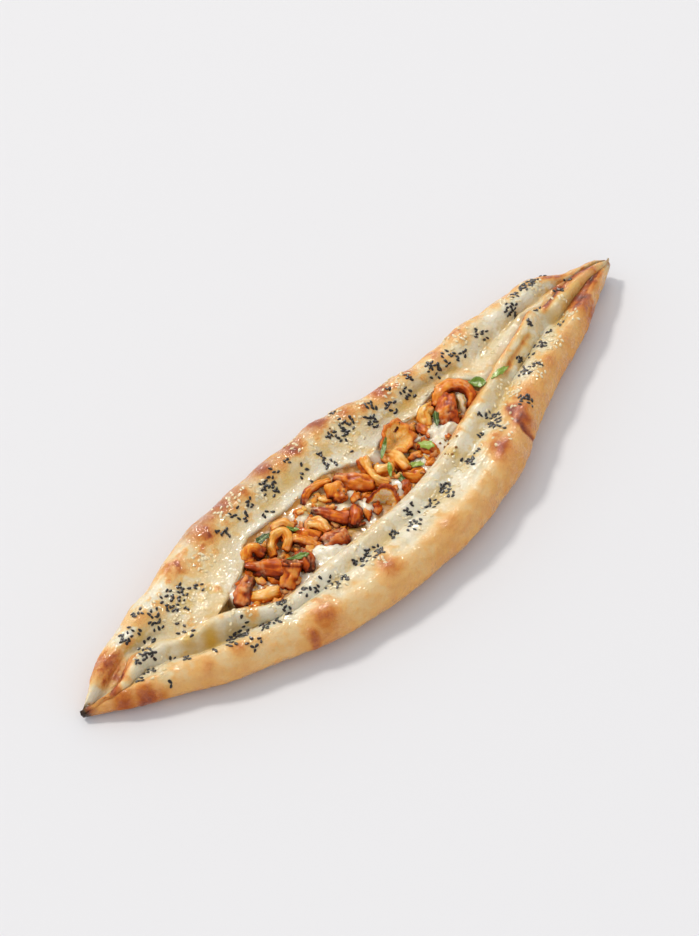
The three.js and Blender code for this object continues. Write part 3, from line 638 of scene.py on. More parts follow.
# How far each form stands proud, in millimetres.
RELIEF = {"blister": 2.8, "blister_skin": 0.7, "rumple": 0.6, "ripple": 0.35, "pore": 0.09, "flap": 3.4,
          "beside_seam": 2.2, "tip_flap": 2.4}


def ground_tone(points, key, side, ragged, mottle, fine):
    """How toasted the dough is between its blisters: by section, by side and along the boat."""
    x, front = points[:, 0], side < 0
    softness = 0.26 * np.where(front, 2.2, 1.0)  # heat patches melt into each other on the front wall
    patch = smoothstep(-0.5, 0.5, (0.6 * mottle + 0.5 * ragged - 0.03) / softness)
    pale, golden = (np.where(front, tones[-1](key), tones[1](key)) for tones in (PALE, GOLDEN))
    freckle = smoothstep(0.24, 0.5, lumps(points, 8.0, 3, shift=4.4)) * band(key, 5, 6, 9, 9.8)
    far_front = smoothstep(-150, 100, x) * smoothstep(6, 4.5, key) * front
    tip = smoothstep(150, 215, np.abs(x))
    toast = mix(pale, golden, patch) + TONE["ragged"] * ragged * (0.4 + 1.5 * pale) + TONE["fine"] * fine
    toast = toast + TONE["freckle"] * freckle + TONE["far_front"] * far_front + TONE["front"] * front
    toast = toast + TONE["tip_wall"] * tip * smoothstep(7, 4, key) + TONE["tip"] * tip
    along, across = x + 10 * ragged, key + 0.5 * ragged
    for patch_side, start, end, low, high, change in STRETCHES:
        stretch = between(along, start, end, 9) * between(across, low, high, 0.5)
        toast = toast + change * stretch * (side == patch_side)
    return toast


def broad_forms(x, key, side, ragged, mottle, fine):
    """The rumpled skin and the swelling front fold, in millimetres."""
    skin = RELIEF["rumple"] * mottle + RELIEF["ripple"] * ragged + RELIEF["pore"] * fine
    flap = band(key, 5.4, 6.6, 7.8, 8.9) * (side < 0)
    beside_seam = band(key, 5.4, 6.4, 7.3, 7.9) * (side < 0)
    return (skin * band(key, 0.4, 1.6, 8.6, 9.4) + RELIEF["flap"] * flap * band(x, -150, -90, 70, 120)
            + RELIEF["beside_seam"] * beside_seam * band(x, 90, 112, 138, 160)
            + RELIEF["tip_flap"] * flap * smoothstep(155, 190, np.abs(x)))


def butter_film(points, key, ragged, mottle, fine):
    """Butter brushed over the upper side: thicker in the hollow, where its deeper gold is partly painted
    shade, and in pools.
    """
    # more butter in the hollow: partly a darker gold painted into the hollow's shade
    hollow = band(key, 6.2, 6.8, 7.2, 7.8)
    brushed = (0.35 + 0.3 * hollow) * smoothstep(0.05, 0.3, 0.15 * hollow - mottle + 0.4 * fine)
    return np.maximum(brushed, strongest(points, OIL_POOLS, ragged)) * smoothstep(5, 6.5, key)


def paint_dough(points, key, side):
    """How toasted, purple-flushed (partly a painted sheen), oily and charred each point is, and how high it
    stands proud.
    """
    x = points[:, 0]
    ragged, mottle = lumps(points, 6.0, 4), lumps(points, 19.0, 3, shift=7.3)
    fine = lumps(points, 2.4, 2, shift=2.1)
    on_top = np.where(side < 0, smoothstep(0.8, 2.2, key), smoothstep(1.8, 3.6, key))
    blister = strongest(points, BLISTERS, ragged) * on_top
    toast = ground_tone(points, key, side, ragged, mottle, fine) + blister * (1 + 0.15 * fine)
    height = RELIEF["blister"] * blister + RELIEF["blister_skin"] * blister * fine
    # darkness along the lines: browning, and in the sunk creases partly painted shade
    for path, width, rise, dark in LINES:
        line = beside(points, path, width, ragged)
        toast, height = toast + dark * line, height + rise * line
    on_lip = band(key, 8.2, 9.3, 10.5, 11.8)
    for lip_side, start, end, dark in SCORCHED_LIPS:
        scorch = between(x, start, end, 4) * on_lip * (side == lip_side)
        toast = toast + dark * scorch * (0.75 + 0.8 * ragged)
    # a purple flush on the left rim's outer edge, partly a painted sheen where that edge turns away
    purple = strongest(points, PURPLE_EDGES, ragged) * band(key, 2.2, 3.6, 4.4, 5.6) * (side > 0)
    oil = butter_film(points, key, ragged, mottle, fine)
    oil = oil * smoothstep(0.55, 0.25, toast) * smoothstep(-214, -200, x)  # none where it has burnt off
    char = smoothstep(-219, -224, x + 2 * ragged) + 0.45 * smoothstep(213, 224, x + 3 * ragged)
    height = height + broad_forms(x, key, side, ragged, mottle, fine)
    return np.clip(toast, 0, 1), purple, oil, char, height


print("highest form:", max(RELIEF.values()), "mm")

# %% [markdown]
# ## Finish of the dough
#
# Baked wheat dough is a matte, slightly porous solid. Brushed butter leaves a thin clear film,
# so it gets a coat over a rougher base. A colour ramp turns `toast` into colour, because bread
# doesn't simply get darker: it goes from cream through gold and orange-tan to red-brown. Fine
# noise at the size of the pores breaks up colour and gloss, and blistered skin is wrinkled.

# %% Material: buttered flat bread
def make_dough_material():
    """Porous crumb under a clear film: the eye sees soft, cloudy colour with small sharp glints."""
    material, tree = new_material("buttered_flat_bread")
    place = add(tree, "ShaderNodeTexCoord").outputs["Object"]
    pores = grain(tree, place, 1.3, detail=4.0, roughness=0.6)  # pores of 1 to 2 mm
    clouds = grain(tree, place, 6, detail=6.0, roughness=0.68)  # heat patches, 6 mm
    toast = attribute(tree, "toast")
    spread = remap(tree, toast, (0.0, 0.7), (0.06, 0.22))
    tone = waver(tree, waver(tree, toast, clouds, spread), pores, 0.10)
    crumb = ramp(tree, tone, [
        (0.00, "#E1D8BF"), (0.10, "#DED0AE"), (0.21, "#E1C694"), (0.35, "#E3B069"), (0.49, "#DA9850"),
        (0.61, "#CB7A32"), (0.73, "#B15925"), (0.86, "#8A3D1B"), (1.00, "#562617")])
    oiled = blend(tree, attribute(tree, "oil"), crumb, "#CFA748")
    # the mauve flush on the left rim's outer edge: partly its own colour, partly a painted sheen
    flush = calculate(tree, "MULTIPLY", attribute(tree, "purple"), 0.7)
    edged = blend(tree, flush, oiled, "#A86C58")
    burnt = blend(tree, attribute(tree, "char"), edged, "#33261F")
    wet = remap(tree, clouds, (0.42, 0.60), (0.58, 0.20))
    wrinkle = remap(tree, toast, (0.15, 0.65), (0.22, 0.8))  # blistered skin is the roughest
    skin = bump(tree, pores, wrinkle, 1.2)
    relief = bump(tree, clouds, 0.6, 2.5, Normal=skin)
    beads = grain(tree, place, 1.9, detail=1.0)  # the butter lies in beads, 2 mm
    film = bump(tree, beads, remap(tree, toast, (0.1, 0.5), (0.7, 1.0)), 1.2)
    brushed = remap(tree, clouds, (0.44, 0.54), (0.1, 0.9))
    close_material(tree, {
        "Base Color": burnt, "Roughness": wet, "Normal": relief, "IOR": 1.45, "Specular IOR Level": 0.12,
        "Coat Weight": brushed, "Coat Roughness": 0.06, "Coat IOR": 1.4, "Coat Normal": film,
        "Subsurface Weight": 0.3, "Subsurface Radius": (1.0, 0.6, 0.3), "Subsurface Scale": 5 * MM})
    return material


dough_material = make_dough_material()
print("material:", dough_material.name, "with", len(dough_material.node_tree.nodes), "nodes")

# %% [markdown]
# ## The dough boat
#
# Now the sections become the boat. A flat strip closes the base and another the floor of the
# trough. The painted heights then move each point along its own normal, so blisters stand proud
# of the rim and creases sink in, in the mesh itself and not only in the shading.

# %% Loft the dough boat
def section_rings(x):
    """All sections as closed rings of (x, y, z), with the key number and side of each point."""
    right, left, floor = measures(x)
    right_line, key = smooth_through(fold_keys(x, RIGHT, right, floor), STEPS)
    left_line, _ = smooth_through(fold_keys(x, LEFT, left, floor), STEPS)
    middle = centre(x)[:, None]
    right_yz = np.stack([middle - right_line[:, :, 0], right_line[:, :, 1]], axis=2)
    left_yz = np.stack([middle + left_line[:, :, 0], left_line[:, :, 1]], axis=2)[:, ::-1]
    share = np.linspace(0, 1, 8)[None, 1:-1, None]
    floor_strip = mix(right_yz[:, -1:], left_yz[:, :1], share)
    base_strip = mix(left_yz[:, -1:], right_yz[:, :1], share)
    ring = np.concatenate([right_yz, floor_strip, left_yz, base_strip], axis=1)
    strip = share.size
    keys = np.concatenate([key, np.full(strip, 12.0), key[::-1], np.zeros(strip)])
    sides = np.concatenate([-np.ones(len(key)), np.zeros(strip), np.ones(len(key)), np.zeros(strip)])
    lengthwise = np.broadcast_to(x[:, None, None], ring.shape[:2] + (1,))
    return np.concatenate([lengthwise, ring], axis=2), keys, sides


rings, ring_keys, ring_sides = section_rings(places_along)
near_tip, far_tip = (rings[i].mean(axis=0) + (step, 0, 0) for i, step in ((0, -0.5), (-1, 0.5)))
points, faces = loft(rings, near_tip, far_tip)
dough = make_piece("buttered_dough", points, faces, dough_material)
print("dough:", len(points), "points,", len(faces), "faces")

# %% Bake it
at, facing = read_points(dough.data)
key = np.concatenate([np.tile(ring_keys, STATIONS), [5, 5]])
side = np.concatenate([np.tile(ring_sides, STATIONS), [1, 1]])
toast, purple, oil, char, height = paint_dough(at, key, side)
write_points(dough.data, at + facing * height[:, None])
mark(dough.data, toast=toast, purple=purple, oil=oil, char=char)
hand_in(dough, "crust", "dough_boat")
print("toast from", toast.min().round(2), "to", toast.max().round(2),
      "and heights from", height.min().round(2), "to", height.max().round(2), "mm")

# %% [markdown]
# ## Melted cheese
#
# The cheese has melted into the trough and set in soft lumps with puddles of butter. It is a
# height field: a grid over the trough's floor whose top rises and falls with noise, plus a few
# larger lumps. Its sides reach just into the dough, so that no gap shows.

# %% Material: melted cheese
def make_cheese_material():
    """Soft curd that light sinks into, under clear fat: milky and white, with wet yellow pools."""
    material, tree = new_material("melted_white_cheese")
    place = add(tree, "ShaderNodeTexCoord").outputs["Object"]
    curds = grain(tree, place, 4.5, detail=4.0, roughness=0.6)  # curds of 4 to 5 mm
    fat = grain(tree, place, 9, detail=3.0, distortion=0.6)  # pools of butter, 9 mm
    grit = add(tree, "ShaderNodeTexVoronoi", {"Vector": place, "Scale": 1 / (2.6 * MM), "Randomness": 1.0})
    curd = ramp(tree, curds, [(0.30, "#E6D9B2"), (0.46, "#EDE6CE"), (0.70, "#F1EDDF")])
    pool = remap(tree, fat, (0.58, 0.76), (0.0, 0.5))
    buttery = blend(tree, calculate(tree, "MAXIMUM", pool, attribute(tree, "oil")), curd, "#CFAE3C")
    herb = remap(tree, grit.outputs["Distance"], (0.10, 0.17), (0.6, 0.0))
    flecked = blend(tree, herb, buttery, "#7A6A22")
    soaked = remap(tree, curds, (0.35, 0.62), (1.0, 0.6))
    # brown stain: juice from the mushrooms, and painted shade in the gaps and under the left fold
    stain = calculate(tree, "MULTIPLY", attribute(tree, "juice"), soaked)
    close_material(tree, {
        "Base Color": blend(tree, stain, flecked, "#BF8430"), "Roughness": 0.33,
        "Normal": bump(tree, curds, 0.8, 0.8), "IOR": 1.42, "Specular IOR Level": 0.2, "Coat Weight": 0.9,
        "Coat Roughness": 0.06, "Coat IOR": 1.36, "Subsurface Weight": 0.35,
        "Subsurface Radius": (1.0, 0.8, 0.5), "Subsurface Scale": 3 * MM})
    return material


cheese_material = make_cheese_material()
print("material:", cheese_material.name)

# %% Pour the cheese
CHEESE_TOP = 17.7
CHEESE_CLIMB = 2.6  # how far the cheese clings up the dough's walls
# Each mound: x, y, radius and how far it stands above the rest.
MOUNDS = [
    (-119, 2, 9, 3.0), (-64, -10, 8, 4.5), (-55, -14, 6, 3.5), (-52, 15, 5, 4.0), (-22, -6, 5, 4.0),
    (-30, 4, 5, 2.0), (9, 15, 5, 2.5), (48, 1, 8, 4.5), (40, -6, 7, 4.0), (54, -3, 5, 3.0), (-113, 0, 7, 1.5),
    (-22, 7, 5, 3.0), (22, -8, 7, 3.0), (-83, -16, 5, 2.5), (4, -8, 6, 3.0),
]
CHEESE_OIL = [(-38, -9, 6, 0.9), (-33, -12, 4, 0.7), (-47, 18, 6, 0.8), (-37, 19, 7, 0.9), (-27, 6, 5, 0.5)]


def pour_cheese(start, end, rows, columns):
    """Closed rings across the trough: a lumpy top, and a flat underside near the floor."""
    x = np.linspace(start, end, rows)
    right, left, _ = measures(x)
    inner = [sign * (fold["lip"] + fold["undercut"]) for sign, fold in ((-1, right), (1, left))]
    share = np.linspace(0, 1, columns)[None]
    y = centre(x)[:, None] + mix(inner[0][:, None] - 0.2, inner[1][:, None] + 0.2, share)
    top = np.stack([np.broadcast_to(x[:, None], y.shape), y, np.full(y.shape, CHEESE_TOP)], axis=2)
    flat = top.reshape(-1, 3)
    ragged = lumps(flat, 5, 2)
    rise = 1.3 * lumps(flat, 8, 3) + 0.7 * ragged + 0.2 * lumps(flat, 1.8, 2)  # swells, curds and grains
    for mx, my, radius, height in MOUNDS:
        rise = rise + height * near(flat, mx, my, radius, ragged)
    wall = CHEESE_CLIMB * np.exp(-np.minimum(share, 1 - share) * 13)
    top[:, :, 2] += rise.reshape(y.shape) + wall
    bottom = top[:, ::-1].copy()
    bottom[:, :, 2] = BASE_DOUGH + 0.3
    return np.concatenate([top, bottom], axis=1)


cheese_rings = pour_cheese(-121, 87, rows=240, columns=64)
points, faces = loft(cheese_rings, cheese_rings[0].mean(axis=0), cheese_rings[-1].mean(axis=0))
ragged = lumps(points, 4, 2)
butter = strongest(points, CHEESE_OIL, ragged)
cheese = make_piece("melted_cheese_pool", points, faces, cheese_material, oil=butter)
hand_in(cheese, "cheese", "melted_cheese")

# %% [markdown]
# ## Chanterelles
#
# A chanterelle has no separate gills: its flesh is folded, and the folds run down a stem that
# widens into a wavy cap. Cut up and braised in butter it turns orange to rust-brown, with dark
# edges and a wet shine. Every piece here follows a path, so each one is a sweep: rings round a
# smooth path, lumpy and grooved, with rounded ends or a hollow, frilled mouth.

# %% Material: braised chanterelle
def make_chanterelle_material():
    """Fibrous amber flesh under butter: it glows where light comes through, and shines wet on top."""
    material, tree = new_material("braised_chanterelle")
    place = add(tree, "ShaderNodeTexCoord").outputs["Object"]
    fibre = add(tree, "ShaderNodeAttribute", attribute_name="fibre").outputs["Vector"]
    streaks = grain(tree, fibre, 1.1, detail=3.0, roughness=0.55)  # fibres, 1 mm apart
    blotch = grain(tree, place, 4, detail=3.0)  # seared patches, 4 mm
    depth = waver(tree, waver(tree, attribute(tree, "tone"), blotch, 0.30), streaks, 0.34)
    skin = ramp(tree, depth, [
        (0.00, "#F2DDB8"), (0.14, "#EDBF70"), (0.30, "#E59C3A"), (0.46, "#D9781A"), (0.60, "#BC530D"),
        (0.74, "#93330A"), (0.88, "#641D08"), (1.00, "#331107")])
    beads = grain(tree, place, 2.0, detail=1.0)  # beads of butter, 2 mm
    close_material(tree, {
        # a creamy bloom of cheese on top, partly a painted sheen on the upward faces
        "Base Color": blend(tree, attribute(tree, "blush"), skin, "#E8C088"),
        "Roughness": remap(tree, streaks, (0.0, 1.0), (0.15, 0.55)), "Normal": bump(tree, streaks, 0.6, 0.35),
        "IOR": 1.38, "Specular IOR Level": 0.05, "Coat Weight": 0.42, "Coat Roughness": 0.08,
        "Coat IOR": 1.36, "Coat Normal": bump(tree, beads, 0.9, 0.8), "Subsurface Weight": 0.3,
        "Subsurface Radius": (1.0, 0.35, 0.08), "Subsurface Scale": 2 * MM})
    return material


chanterelle_material = make_chanterelle_material()
print("material:", chanterelle_material.name)

# %% The pieces of chanterelle, in millimetres
# Each piece: the path of its middle, its radii along the path, and its tone from start to end,
# from 0, pale flesh, to 1, nearly black. blush is a creamy bloom on top, partly cheese and
# partly a painted sheen, flat squeezes the piece, and mouth gives a trumpet its hollow end: depth,
# ripple of the edge, and tone inside.
CHANTERELLES = [
    {"path": [(-92, -11, 17), (-88, -8, 21), (-85, -6, 25.5)], "radii": (5, 5.6, 5), "tone": (0.50, 0.58),
     "mouth": (3, 0.05, 0.66), "blush": 0.35},
    {"path": [(-99, 14, 19.5), (-94, 6, 20), (-88, -3, 20)], "radii": (3.4, 5.6, 6.4), "tone": (0.78, 0.78)},
    {"path": [(-106, 7, 20.5), (-114, 3, 20), (-120, -1, 18.5)], "radii": (4.2, 5, 4.4), "tone": (0.76, 0.68),
     "blush": 0.5},
    {"path": [(-112, -2, 18.5), (-107, -6, 18.5), (-100, -10, 18.5)], "radii": (3.6, 4.3, 3.8),
     "tone": (0.38, 0.42)},
    {"path": [(-94, 18, 18), (-90, 19, 21), (-87, 14, 20)], "radii": (4.6, 5.6, 4.4), "tone": (0.35, 0.77)},
    {"path": [(-83, 9, 19), (-80, 14, 21), (-74, 17, 22), (-69, 14, 23), (-71, 9, 21.5), (-75, 7, 19)],
     "radii": (2.6, 3, 3.3, 3.2, 2.9, 2.4), "tone": (0.45, 0.50)},
    {"path": [(-75, -2, 20.5), (-75, -8, 20), (-77, -12, 18)], "radii": (4.6, 5.6, 4.4),
     "tone": (0.78, 0.80)},
    {"path": [(-70, 10, 20), (-66, 5, 21), (-63, -2, 20), (-61, -6, 19)], "radii": (2.6, 3.6, 3.2, 2.4),
     "tone": (0.56, 0.61)},
    {"path": [(-69, 22, 19), (-64, 20, 20), (-62, 15, 19)], "radii": (3, 4, 3.2), "tone": (0.42, 0.47),
     "blush": 0.4},
    {"path": [(-62, 11, 19.5), (-60, 4, 20), (-57, -1, 19.5)], "radii": (3.2, 4.2, 3.4),
     "tone": (0.56, 0.63)},
    {"path": [(-53, 11, 19), (-50, 6, 20), (-50, -2, 19.5)], "radii": (3, 3.8, 3), "tone": (0.33, 0.41),
     "blush": 0.3},
    {"path": [(-57, -7, 19.5), (-52, -9, 20.5), (-46, -11, 20)], "radii": (5.2, 6, 5), "tone": (0.70, 0.72),
     "flat": 0.85, "blush": 0.35},
    {"path": [(-27, -3, 20), (-31, -5, 21.5), (-37, -10, 20)], "radii": (3.2, 4.6, 3.4),
     "tone": (0.80, 0.73)},
    {"path": [(-45, 14, 19), (-41, 5, 19.5), (-36, -4, 19.5)], "radii": (3.2, 4.2, 4.8),
     "tone": (0.93, 0.73)},
    {"path": [(-29, 12, 18.5), (-26, 13, 20), (-23, 14, 20.5)], "radii": (5.6, 7.2, 6), "tone": (0.53, 0.51)},
    {"path": [(0, 17, 22), (-3, 9, 21.5), (-4, 1, 21), (-1, -3, 20)], "radii": (4, 3.2, 3.4, 2.6),
     "tone": (0.46, 0.34)},
    {"path": [(-18, 21, 18.5), (-14, 13, 19.5), (-8, 2, 19.5)], "radii": (4.2, 5.8, 4.2),
     "tone": (0.68, 0.62)},
    {"path": [(-44, 23, 17.5), (-39, 26, 18.5), (-30, 26, 19), (-22, 23, 19)], "radii": (2.4, 2.6, 2.6, 2.2),
     "tone": (0.84, 0.44)},
    {"path": [(-10, -7, 16), (-14, -11, 20)], "radii": (6.5, 9.6), "tone": (0.58, 0.66),
     "mouth": (2.6, 0.07, 0.02)},
    {"path": [(1, 7, 19.5), (8, 2, 19.5)], "radii": (4, 4.6), "tone": (0.34, 0.32)},
    {"path": [(10, -6, 18.5), (13, -10, 18.5), (19, -12, 19.5)], "radii": (3.6, 4.8, 3.2),
     "tone": (0.57, 0.53)},
    {"path": [(13, 11, 19.5), (14, 4, 21), (13, -5, 21)], "radii": (3.8, 4.8, 4.2), "tone": (0.42, 0.47)},
    {"path": [(24, 15, 15), (25, 14.5, 19.5), (25, 13, 24)], "radii": (5, 6, 10), "tone": (0.45, 0.50),
     "mouth": (4, 0.12, 0.15), "blush": 0.2},
    {"path": [(31, 1, 20), (34, -4, 19.5), (35, -10, 18)], "radii": (3.4, 4.6, 2.4), "tone": (0.59, 0.67)},
    {"path": [(68, 12, 23.5), (61, 6, 21.5), (55, -2, 19)], "radii": (5.4, 7.2, 5.4), "tone": (0.63, 0.78),
     "flat": 0.85},
    {"path": [(61, 15, 21), (68, 18, 24), (76, 16, 25), (80, 10, 25), (79, 3, 23), (74, -1, 20)],
     "radii": (2.8, 3.4, 3.8, 3.8, 3.4, 2.6), "tone": (0.52, 0.76)},
    {"path": [(76, 9, 21), (73, 4, 19.5), (70, 1, 17)], "radii": (2.6, 3, 2.4), "tone": (0.08, 0.12)},
    {"path": [(57, 16, 21), (51, 15, 21.5), (47, 9, 19)], "radii": (3, 4, 3.4), "tone": (0.34, 0.32)},
    {"path": [(43, 13, 19), (42, 7, 19.5), (45, 3, 19)], "radii": (2.4, 3.2, 2.6), "tone": (0.77, 0.73)},
]
print(len(CHANTERELLES), "pieces of chanterelle")

# %% Rings along a path
SIDES = 48  # points round a piece
CAP_ROWS = 7  # rows in each rounded end
ROW_STEP = 0.7  # from row to row, in millimetres


def frame_along(path, count):
    """Places, directions, sideways and upward axes at equal steps along a path, and its length."""
    line, _ = smooth_through(np.array([path], float), (30,) * (len(path) - 1))
    line = line[0]
    run = np.concatenate([[0], np.cumsum(np.linalg.norm(np.diff(line, axis=0), axis=1))])
    even = np.linspace(0, run[-1], count)
    places = np.stack([np.interp(even, run, line[:, axis]) for axis in range(3)], axis=1)
    along = np.gradient(places, axis=0)
    along /= np.linalg.norm(along, axis=1)[:, None]
    sideways = np.cross((0, 0, 1), along)
    sideways /= np.linalg.norm(sideways, axis=1)[:, None]
    return places, along, sideways, np.cross(along, sideways), run[-1]


def end_rows(radius, mouth=None):
    """The rows past the end of a path: shift along it, size, ripple, and 1 inside a mouth."""
    if mouth is None:
        turn = np.linspace(0, math.pi / 2, CAP_ROWS, endpoint=False)[1:]
        return [(0.42 * radius * math.sin(a), math.cos(a) ** 0.55, 0, 0) for a in turn]
    depth, ripple, _ = mouth
    rows = [(0.3, 1.04, ripple, 0), (1.1, 1.09, ripple, 0), (1.8, 1.05, ripple, 0), (2.1, 0.97, ripple, 0),
            (1.9, 0.89, ripple, 0.3), (1.4, 0.83, ripple, 0.8)]
    for size in np.linspace(0.77, 0.05, 14):
        rows.append((1.0 - (depth + 1.0) * (1 - (size / 0.8) ** 2.4), size, ripple * size, 1))
    return rows


def chanterelle_rings(piece, phase):
    """Rings, and for each point its share of the path, its place in the mouth, angle and fibre."""
    mouth, radii = piece.get("mouth"), piece["radii"]
    length = frame_along(piece["path"], 2)[4]
    rows = max(8, round(length / ROW_STEP))
    places, along, sideways, upward, _ = frame_along(piece["path"], rows)
    radius_at = curve([(i / (len(radii) - 1), radius) for i, radius in enumerate(radii)])
    start = [(0, -shift, size, 0, 0) for shift, size, _, _ in reversed(end_rows(radii[0]))]
    middle = [(row, 0, 1, 0, 0) for row in range(rows)]
    end = [(rows - 1, *row) for row in end_rows(radii[-1], mouth)]
    table = np.array(start + middle + end)
    row = table[:, 0].astype(int)
    shift, size, ripple, inside = table[:, 1:, None].transpose(1, 0, 2)
    u = np.linspace(0, 1, rows)[row][:, None]
    angle = 2 * math.pi * np.arange(SIDES)[None] / SIDES
    lump = 1 + 0.08 * np.sin(3 * angle + 4 * u + phase) + 0.08 * np.sin(2 * angle - 5 * u + 2 * phase)
    frill = 0.55 * np.sin(3 * angle + phase) + 0.45 * np.sin(5 * angle + 2.3 * phase)
    frill = frill + 0.3 * np.sin(9 * angle)
    radius = radius_at(u) * size * lump * (1 + ripple * frill)
    wave = shift + radius_at(u) * ripple * (np.cos(3 * angle + phase) + 0.35 * np.sin(8 * angle + 2 * phase))
    across, up = radius * np.cos(angle), piece.get("flat", 1) * radius * np.sin(angle)
    rings = (places[row][:, None] + sideways[row][:, None] * across[:, :, None]
             + upward[row][:, None] * up[:, :, None] + along[row][:, None] * wave[:, :, None])
    fibre = np.stack([across, up, 0.15 * (u * length + wave)], axis=2)
    return rings, *np.broadcast_arrays(u, inside, angle), fibre


print("rings of the first piece:", chanterelle_rings(CHANTERELLES[0], 0)[0].shape)

# %% Shape and colour every piece
def with_ends(values):
    """Values on rings as one row per point, with the two end points of the loft added."""
    rows = values.reshape(-1, *values.shape[2:])
    return np.concatenate([rows, rows[:1], rows[-1:]])


# How far the folds of a piece stand proud, in millimetres. A crease is a share of the radius deep.
PROUD = {"wrinkle": 0.7, "vein": 0.12, "gills": 0.45, "crease": -0.17}
# How much darker the folds, the cut ends, a mouth's seared rim and the underside are. The seared ends,
# the rim and the gills are the flesh's own colour. The darker sunk crease and the darker hollows between
# wrinkles and veins are painted shade, and the underside is painted shade with painted light on the top.
DARKER = {"wrinkle": -0.14, "vein": -0.03, "gills": 0.10, "crease": 0.22, "ends": 0.10, "rim": 0.16,
          "underside": 0.38}


def fold_flesh(at, share, inside, angle, number):
    """Wrinkles, veins, the gills in a mouth and one long crease, as numbers from -1 or 0 to 1."""
    draw = np.random.default_rng(number)
    twist, bearing = draw.uniform(-1.2, 1.2), draw.uniform(0.15, 0.95) * math.pi
    wrinkle = lumps(at, 3.8, 2, shift=number)
    off = np.angle(np.exp(1j * (angle - bearing - twist * share + 0.5 * wrinkle)))
    crease = np.exp(-((off / 0.26) ** 2)) * (1 - inside)
    bend = 2 * twist * share + 1.8 * np.sin(2 * angle + bearing) + 2 * wrinkle
    vein = np.sin(9 * angle + bend) * (1 - inside)
    gills = inside * (0.5 + 0.5 * np.cos(21 * angle + 2 * np.sin(3 * angle) + 4 * wrinkle))
    return {"wrinkle": wrinkle, "vein": vein, "gills": gills, "crease": crease}


def tone_flesh(piece, folds, share, inside, upward):
    """The tone of each point: along the piece, in its folds (partly painted shade), at its ends, and painted
    shade on its underside with painted light on its top.
    """
    tone = mix(*piece["tone"], share)
    closed = "mouth" not in piece
    if not closed:
        rim = smoothstep(0.9, 1.0, share) * smoothstep(1.0, 0.8, inside)
        tone = mix(tone, piece["mouth"][2], inside) + DARKER["rim"] * rim
    ends = smoothstep(0.12, 0.0, share) + smoothstep(0.88, 1.0, share) * closed
    # the sunk crease and the hollows between wrinkles and veins come out darker: painted shade; the seared
    # ends and the gills are the flesh's own colour
    for name, fold in {**folds, "ends": ends}.items():
        tone = tone + DARKER[name] * fold
    # painted shade and light: darker on the underside, lighter on top, by the way each point faces
    return tone + DARKER["underside"] * (0.42 - upward) * (1 - inside)


def cook(piece, number):
    """One piece of chanterelle: swept, folded, wrinkled and toned."""
    rings, *notes = chanterelle_rings(piece, phase=1.7 * number)
    points, faces = loft(rings, rings[0].mean(axis=0), rings[-1].mean(axis=0))
    made = make_piece(f"chanterelle_piece_{number + 1:02d}", points, faces, chanterelle_material)
    at, facing = read_points(made.data)
    share, inside, angle, fibre = (with_ends(values) for values in notes)
    folds = fold_flesh(at, share, inside, angle, number)
    depth = {**PROUD, "crease": PROUD["crease"] * np.mean(piece["radii"])}
    height = sum(depth[name] * fold for name, fold in folds.items())
    write_points(made.data, at + facing * height[:, None])
    tone = tone_flesh(piece, folds, share, inside, facing[:, 2])
    # the creamy bloom on top: crusted cheese and cream, and partly a painted sheen on the upward faces
    on_top = smoothstep(0.2, 0.9, facing[:, 2])
    crusted = smoothstep(-0.05, 0.4, lumps(at, 7, 2, shift=40 + number))
    flecked = smoothstep(-0.3, 0.4, lumps(at, 1.7, 2, shift=70 + number))
    bloom = 0.42 * crusted * flecked * on_top
    bloom = bloom + 0.5 * piece.get("blush", 0) * on_top * smoothstep(-0.5, 0.5, folds["wrinkle"])
    mark(made.data, tone=np.clip(tone, 0, 1), blush=np.clip(bloom, 0, 1), fibre=fibre * MM)
    return hand_in(made, "mushroom", f"chanterelle_{number + 1:02d}")


mushrooms = [cook(piece, number) for number, piece in enumerate(CHANTERELLES)]

# %% Let their juice stain the cheese, with painted shade in the gaps and under the left fold
at, _ = read_points(cheese.data)
ragged = lumps(at, 3, 2, shift=8.8)
# near each piece the cheese is stained: juice, and painted shade in the gaps between pieces
stains = [beside(at, piece["path"], max(piece["radii"]) + 3, ragged) for piece in CHANTERELLES]
# along the left fold the cheese is stained brown: juice, and painted shade under the fold
along_fold = smoothstep(-6, -2, at[:, 1] - centre(at[:, 0]) - left_lip(at[:, 0]) + 3 * ragged)
juice = np.maximum(smoothstep(0.15, 0.6, np.max(stains, axis=0)), 1.4 * along_fold)
clean = strongest(at, [(x, y, radius + 1, 1) for x, y, radius, _ in MOUNDS], ragged)
juice = juice * (1 - 0.9 * clean)
mark(cheese.data, juice=juice)
print("stained:", round(float(np.mean(juice > 0.5)), 2), "of the cheese")

# %% [markdown]
# ## Parsley
#
# Torn parsley wilts on the hot filling: each leaf is a thin lobed sheet that sags onto whatever
# lies under it. A cloth simulation would do the same, but for a leaf of a centimetre it is
# enough to drop the sheet until it touches, and to let every point that has air under it sink a
# little further. A Solidify modifier then gives the sheet its thickness.

# %% Material: parsley leaf
def make_parsley_material():
    """A thin leaf that light passes through: fresh, uneven green with paler veins."""
    material, tree = new_material("fresh_parsley_leaf")
    place = add(tree, "ShaderNodeTexCoord").outputs["Object"]
    blade = grain(tree, place, 2.5, detail=3.0)  # cells and folds, 2 to 3 mm
    green = ramp(tree, waver(tree, attribute(tree, "shade"), blade, 0.35), [
        (0.0, "#232F04"), (0.3, "#425A0C"), (0.6, "#7F9A2C"), (1.0, "#BCC45E")])
    close_material(tree, {
        "Base Color": blend(tree, attribute(tree, "vein"), green, "#A9C46C"), "Roughness": 0.38,
        "Normal": bump(tree, blade, 0.4, 0.4), "IOR": 1.4, "Specular IOR Level": 0.3, "Coat Weight": 0.3,
        "Coat Roughness": 0.08, "Coat IOR": 1.36, "Subsurface Weight": 0.15,
        "Subsurface Radius": (0.5, 1.0, 0.2), "Subsurface Scale": 1 * MM})
    return material


parsley_material = make_parsley_material()
print("material:", parsley_material.name)

